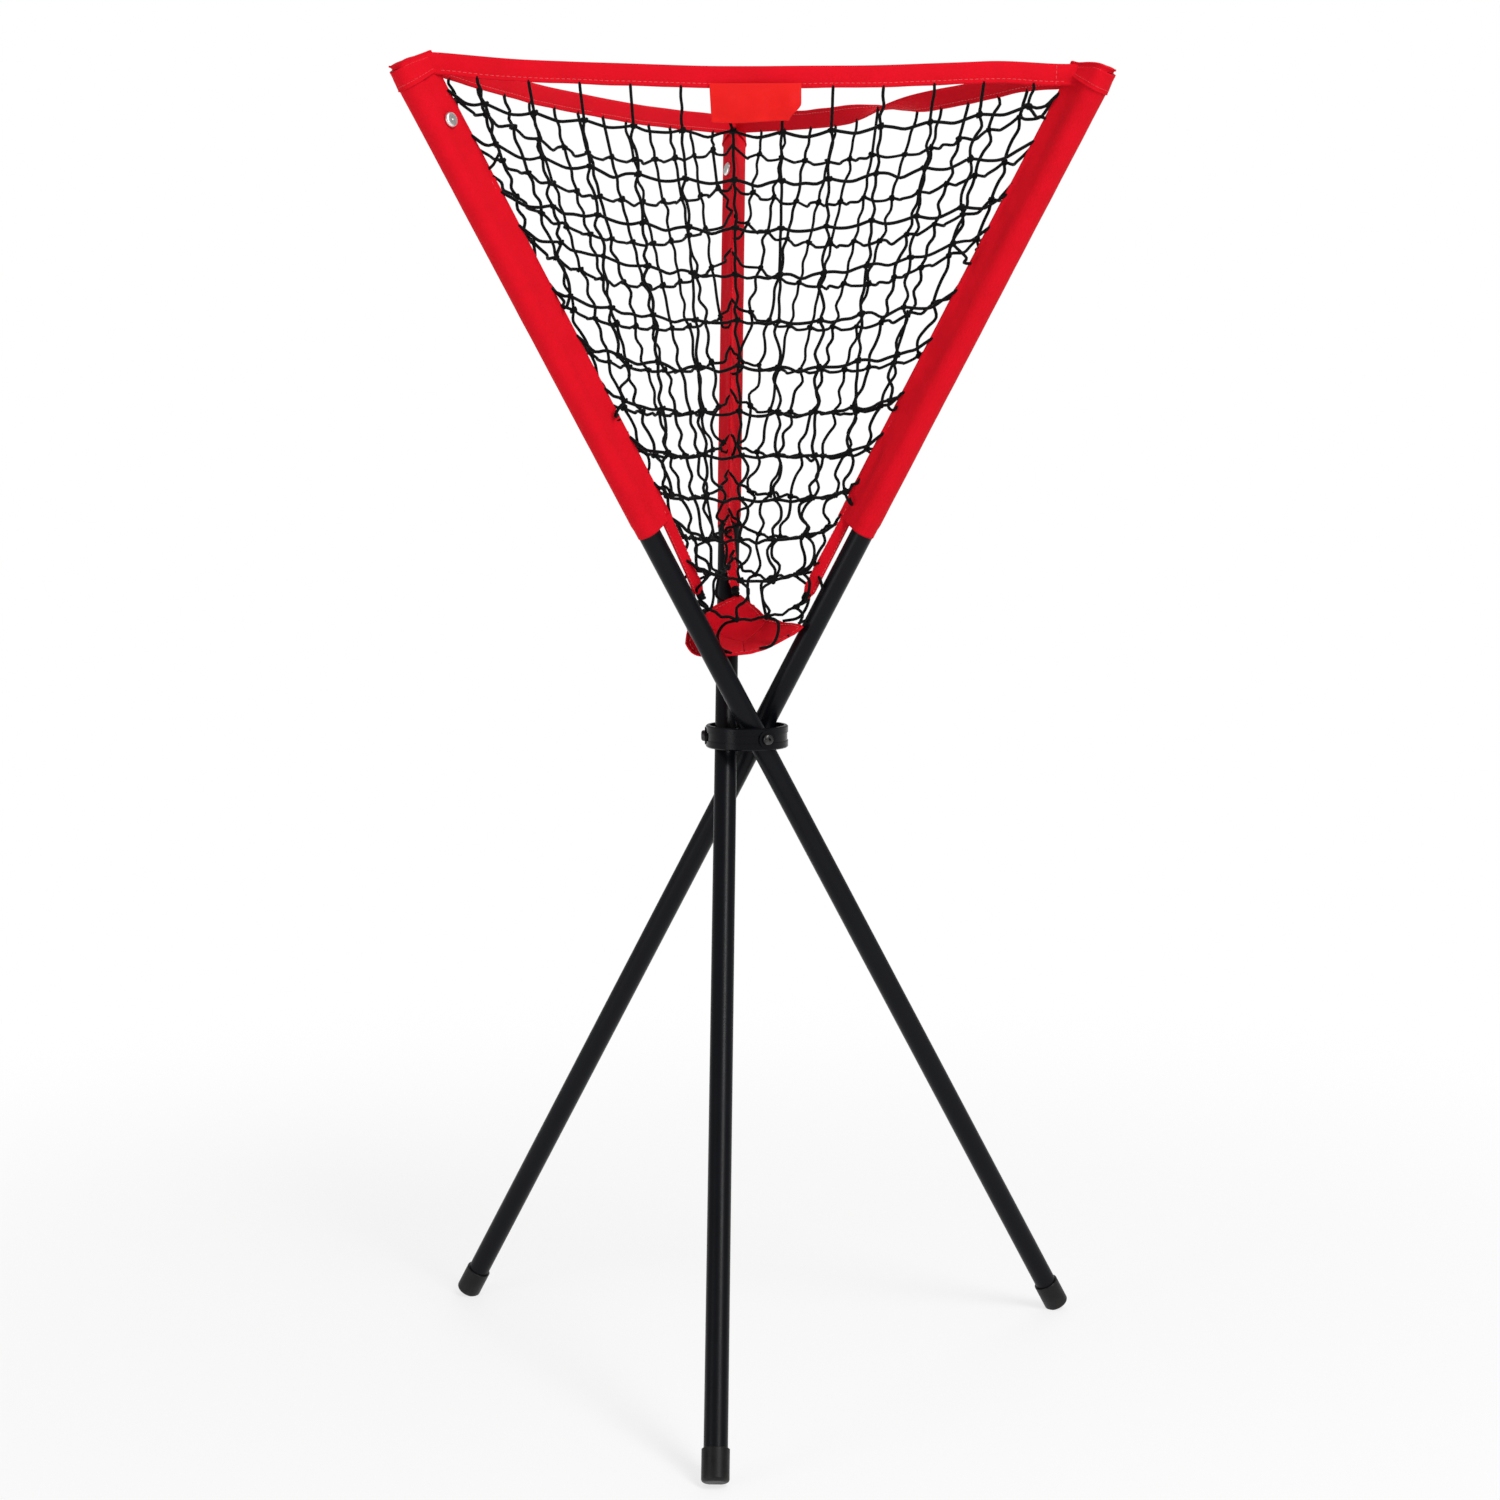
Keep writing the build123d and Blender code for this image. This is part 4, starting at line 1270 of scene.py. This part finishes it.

# %% [markdown]
# ## Bottom patch
# The patch is a triangle of the same cloth with a turned and stitched hem. It is made as three
# kites, one beside each leg. Each kite's points get a share that is 1 at its corner and 0 along the
# two lines where it meets its neighbours. The surface is a grid; Solidify makes it cloth, and the
# hem is a slim roll along the outer edges.

# %% The patch
KITE_STEPS = 22
PATCH_T = 1.0
for leg in LEGS:
    share = np.linspace(0, 1, KITE_STEPS)
    u, v = np.meshgrid(share, share, indexing="ij")
    grid = kite(leg, u, v)
    creases = ripple(grid * (1, 1, 0.4), 17, 60) * 1.8 + ripple(grid, 8, 65) * 0.5
    edge_share = np.maximum(u, v)
    grid[..., 2] += creases * np.clip(edge_share * 1.5, 0, 1) * (1 - 0.5 * u * v)
    ahead = np.gradient(grid, axis=0), np.gradient(grid, axis=1)
    normal = unit(np.cross(*ahead))
    normal *= np.sign(normal[..., 2:3])
    outline = np.concatenate([grid[-1, :], grid[::-1, -1][1:]])
    outline_normal = np.concatenate([normal[-1, :], normal[::-1, -1][1:]])
    patch = build(f"patch_{leg}", [grid_lot(grid)], [red_cloth])
    apply_modifier(patch, "SOLIDIFY", thickness=PATCH_T * MM, offset=0)
    centre = np.mean([patch_corner[k] for k in LEGS], axis=0) - (0, 0, CUP)
    inset = outline + unit(centre - outline) * 2.6
    extra = [tube_lot(outline + unit(centre - outline) * 0.3, 0.95, sides=8)]
    for face in (1, -1):
        extra += stitches(inset + outline_normal * face * (PATCH_T / 2 + 0.02), outline_normal * face)
    hem = build(f"patch_hem_{leg}", extra, [red_cloth, thread_red])
    for piece in (patch, hem):
        made = points_of(piece)
        nearest = np.argmin(((made[:, None, :2] - grid.reshape(-1, 3)[None, :, :2]) ** 2).sum(2), axis=1)
        shares = smoothstep((u * v).ravel()[nearest] ** 0.5)
        gather(piece)
    if leg == "b":
        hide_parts("bottom_patch")

# %% [markdown]
# ## Label flap
# A plain ribbon flap hangs from the middle of the front rim, outside the net. It is folded double,
# softly creased from being packed, and one lower corner has been pulled askew. It is a grid with
# slow waves, and Solidify gives it its two layers.

# %% The flap
label_low, label_high = (np.array(p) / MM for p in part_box("label_flap"))
columns, rows_count = 34, 16
middle, _, along = side_at("front", label_high[2])
out = unit(np.cross(along, (0, 0, 1)))
out *= np.sign(out @ (middle - AXIS))
across, down = np.meshgrid(np.linspace(0, 1, columns), np.linspace(0, 1, rows_count))
flap_middle = (label_low[0] + label_high[0]) / 2
left = flap_middle - 30 + 1.5 * down
right = flap_middle + 31 - 8.0 * smoothstep((down - 0.55) / 0.45)
x = left + (right - left) * across
z = label_high[2] + 3.2 - (label_high[2] + 3.2 - label_low[2]) * down * (1 + 0.03 * np.sin(5 * across))
y = np.full_like(x, label_low[1] - 0.9)
flap = np.stack([x, y, z], -1)
waves = ripple(flap * (1, 1, 0.6), 15, 31) * 2.2 + ripple(flap, 7, 33) * 0.5
flap[..., 1] -= waves * smoothstep(down * 1.4)
flap[..., 1] -= 1.6 * np.sin(math.pi * np.clip(down * 1.1, 0, 1)) + 0.6
label = build("label", [grid_lot(flap)], [label_cloth])
apply_modifier(label, "SOLIDIFY", thickness=1.0 * MM, offset=0)
apply_modifier(label, "BEVEL", width=0.3 * MM, segments=2, limit_method="ANGLE")
select_only(label)
bpy.ops.object.shade_smooth_by_angle(angle=math.radians(40))
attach(label, "hub")
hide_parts("label_flap")
print("label", len(label.data.polygons), "faces")

# %% [markdown]
# ## Floor and light
# A pale floor, a pale room, and soft boxes: one large one high on the front right, whose long
# reflection brightens the tubes, a smaller one above it that draws the stripe down the front tube,
# and weaker ones on the left and behind.

# %% The floor and the lights
bpy.ops.object.select_all(action="DESELECT")
bpy.ops.mesh.primitive_circle_add(vertices=96, radius=14, fill_type="NGON", location=(0, 0, 0))
floor = bpy.context.object
floor.name = "floor"
floor_finish, tree, shader = new_finish("floor", Roughness=0.9, Specular_IOR_Level=0.1)
place = place_in(tree)
clouds = clouds_in(tree, place, 1.5, 0.6)
colour_between(tree, shader, clouds, (0.86, 0.86, 0.86), (0.90, 0.90, 0.90))
from_middle = add(tree, "ShaderNodeVectorMath", {0: place}, operation="LENGTH").outputs["Value"]
far = add(tree, "ShaderNodeMapRange",
          {"Value": from_middle, "From Min": 0.1, "From Max": 1.5, "To Min": 0.72},
          interpolation_type="SMOOTHERSTEP").outputs[0]
glow = add(tree, "ShaderNodeEmission", {"Color": (1, 1, 1, 1), "Strength": 1.0})
fade = add(tree, "ShaderNodeMixShader", {0: far, 1: shader.outputs[0], 2: glow.outputs[0]})
tree.links.new(fade.outputs[0], tree.nodes["Material Output"].inputs["Surface"])
floor.data.materials.append(floor_finish)

world = bpy.data.worlds.new("room")
bpy.context.scene.world = world
world.use_nodes = True
world.node_tree.nodes["Background"].inputs["Color"].default_value = (1, 1, 1, 1)
room = world.node_tree
seen = add(room, "ShaderNodeLightPath").outputs["Is Camera Ray"]
level = add(room, "ShaderNodeMapRange", {"Value": seen, "To Min": 0.38, "To Max": 1.0}).outputs[0]
room.links.new(level, room.nodes["Background"].inputs["Strength"])
bpy.context.scene.view_settings.view_transform = "Standard"


def soft_box(name, place, target, size, power):
    """A rectangular soft light that looks at a point."""
    data = bpy.data.lights.new(name, "AREA")
    data.shape = "RECTANGLE"
    data.size, data.size_y = size
    data.energy = power
    lamp = bpy.data.objects.new(name, data)
    lamp.location = place
    lamp.rotation_euler = (Vector(target) - Vector(place)).to_track_quat("-Z", "Y").to_euler()
    bpy.context.scene.collection.objects.link(lamp)


soft_box("key", (1.5, -2.0, 2.1), (0, 0, 0.55), (0.6, 1.8), 38)
soft_box("stripe", (1.1, -1.4, 2.8), (0, -0.2, 0.3), (0.75, 1.2), 26)
soft_box("fill", (-1.9, -1.8, 0.7), (0, 0, 0.6), (0.9, 1.2), 12)
soft_box("back", (0.3, 2.2, 2.2), (0, 0, 0.7), (1.6, 1.0), 14)
print("floor, room and four soft boxes")
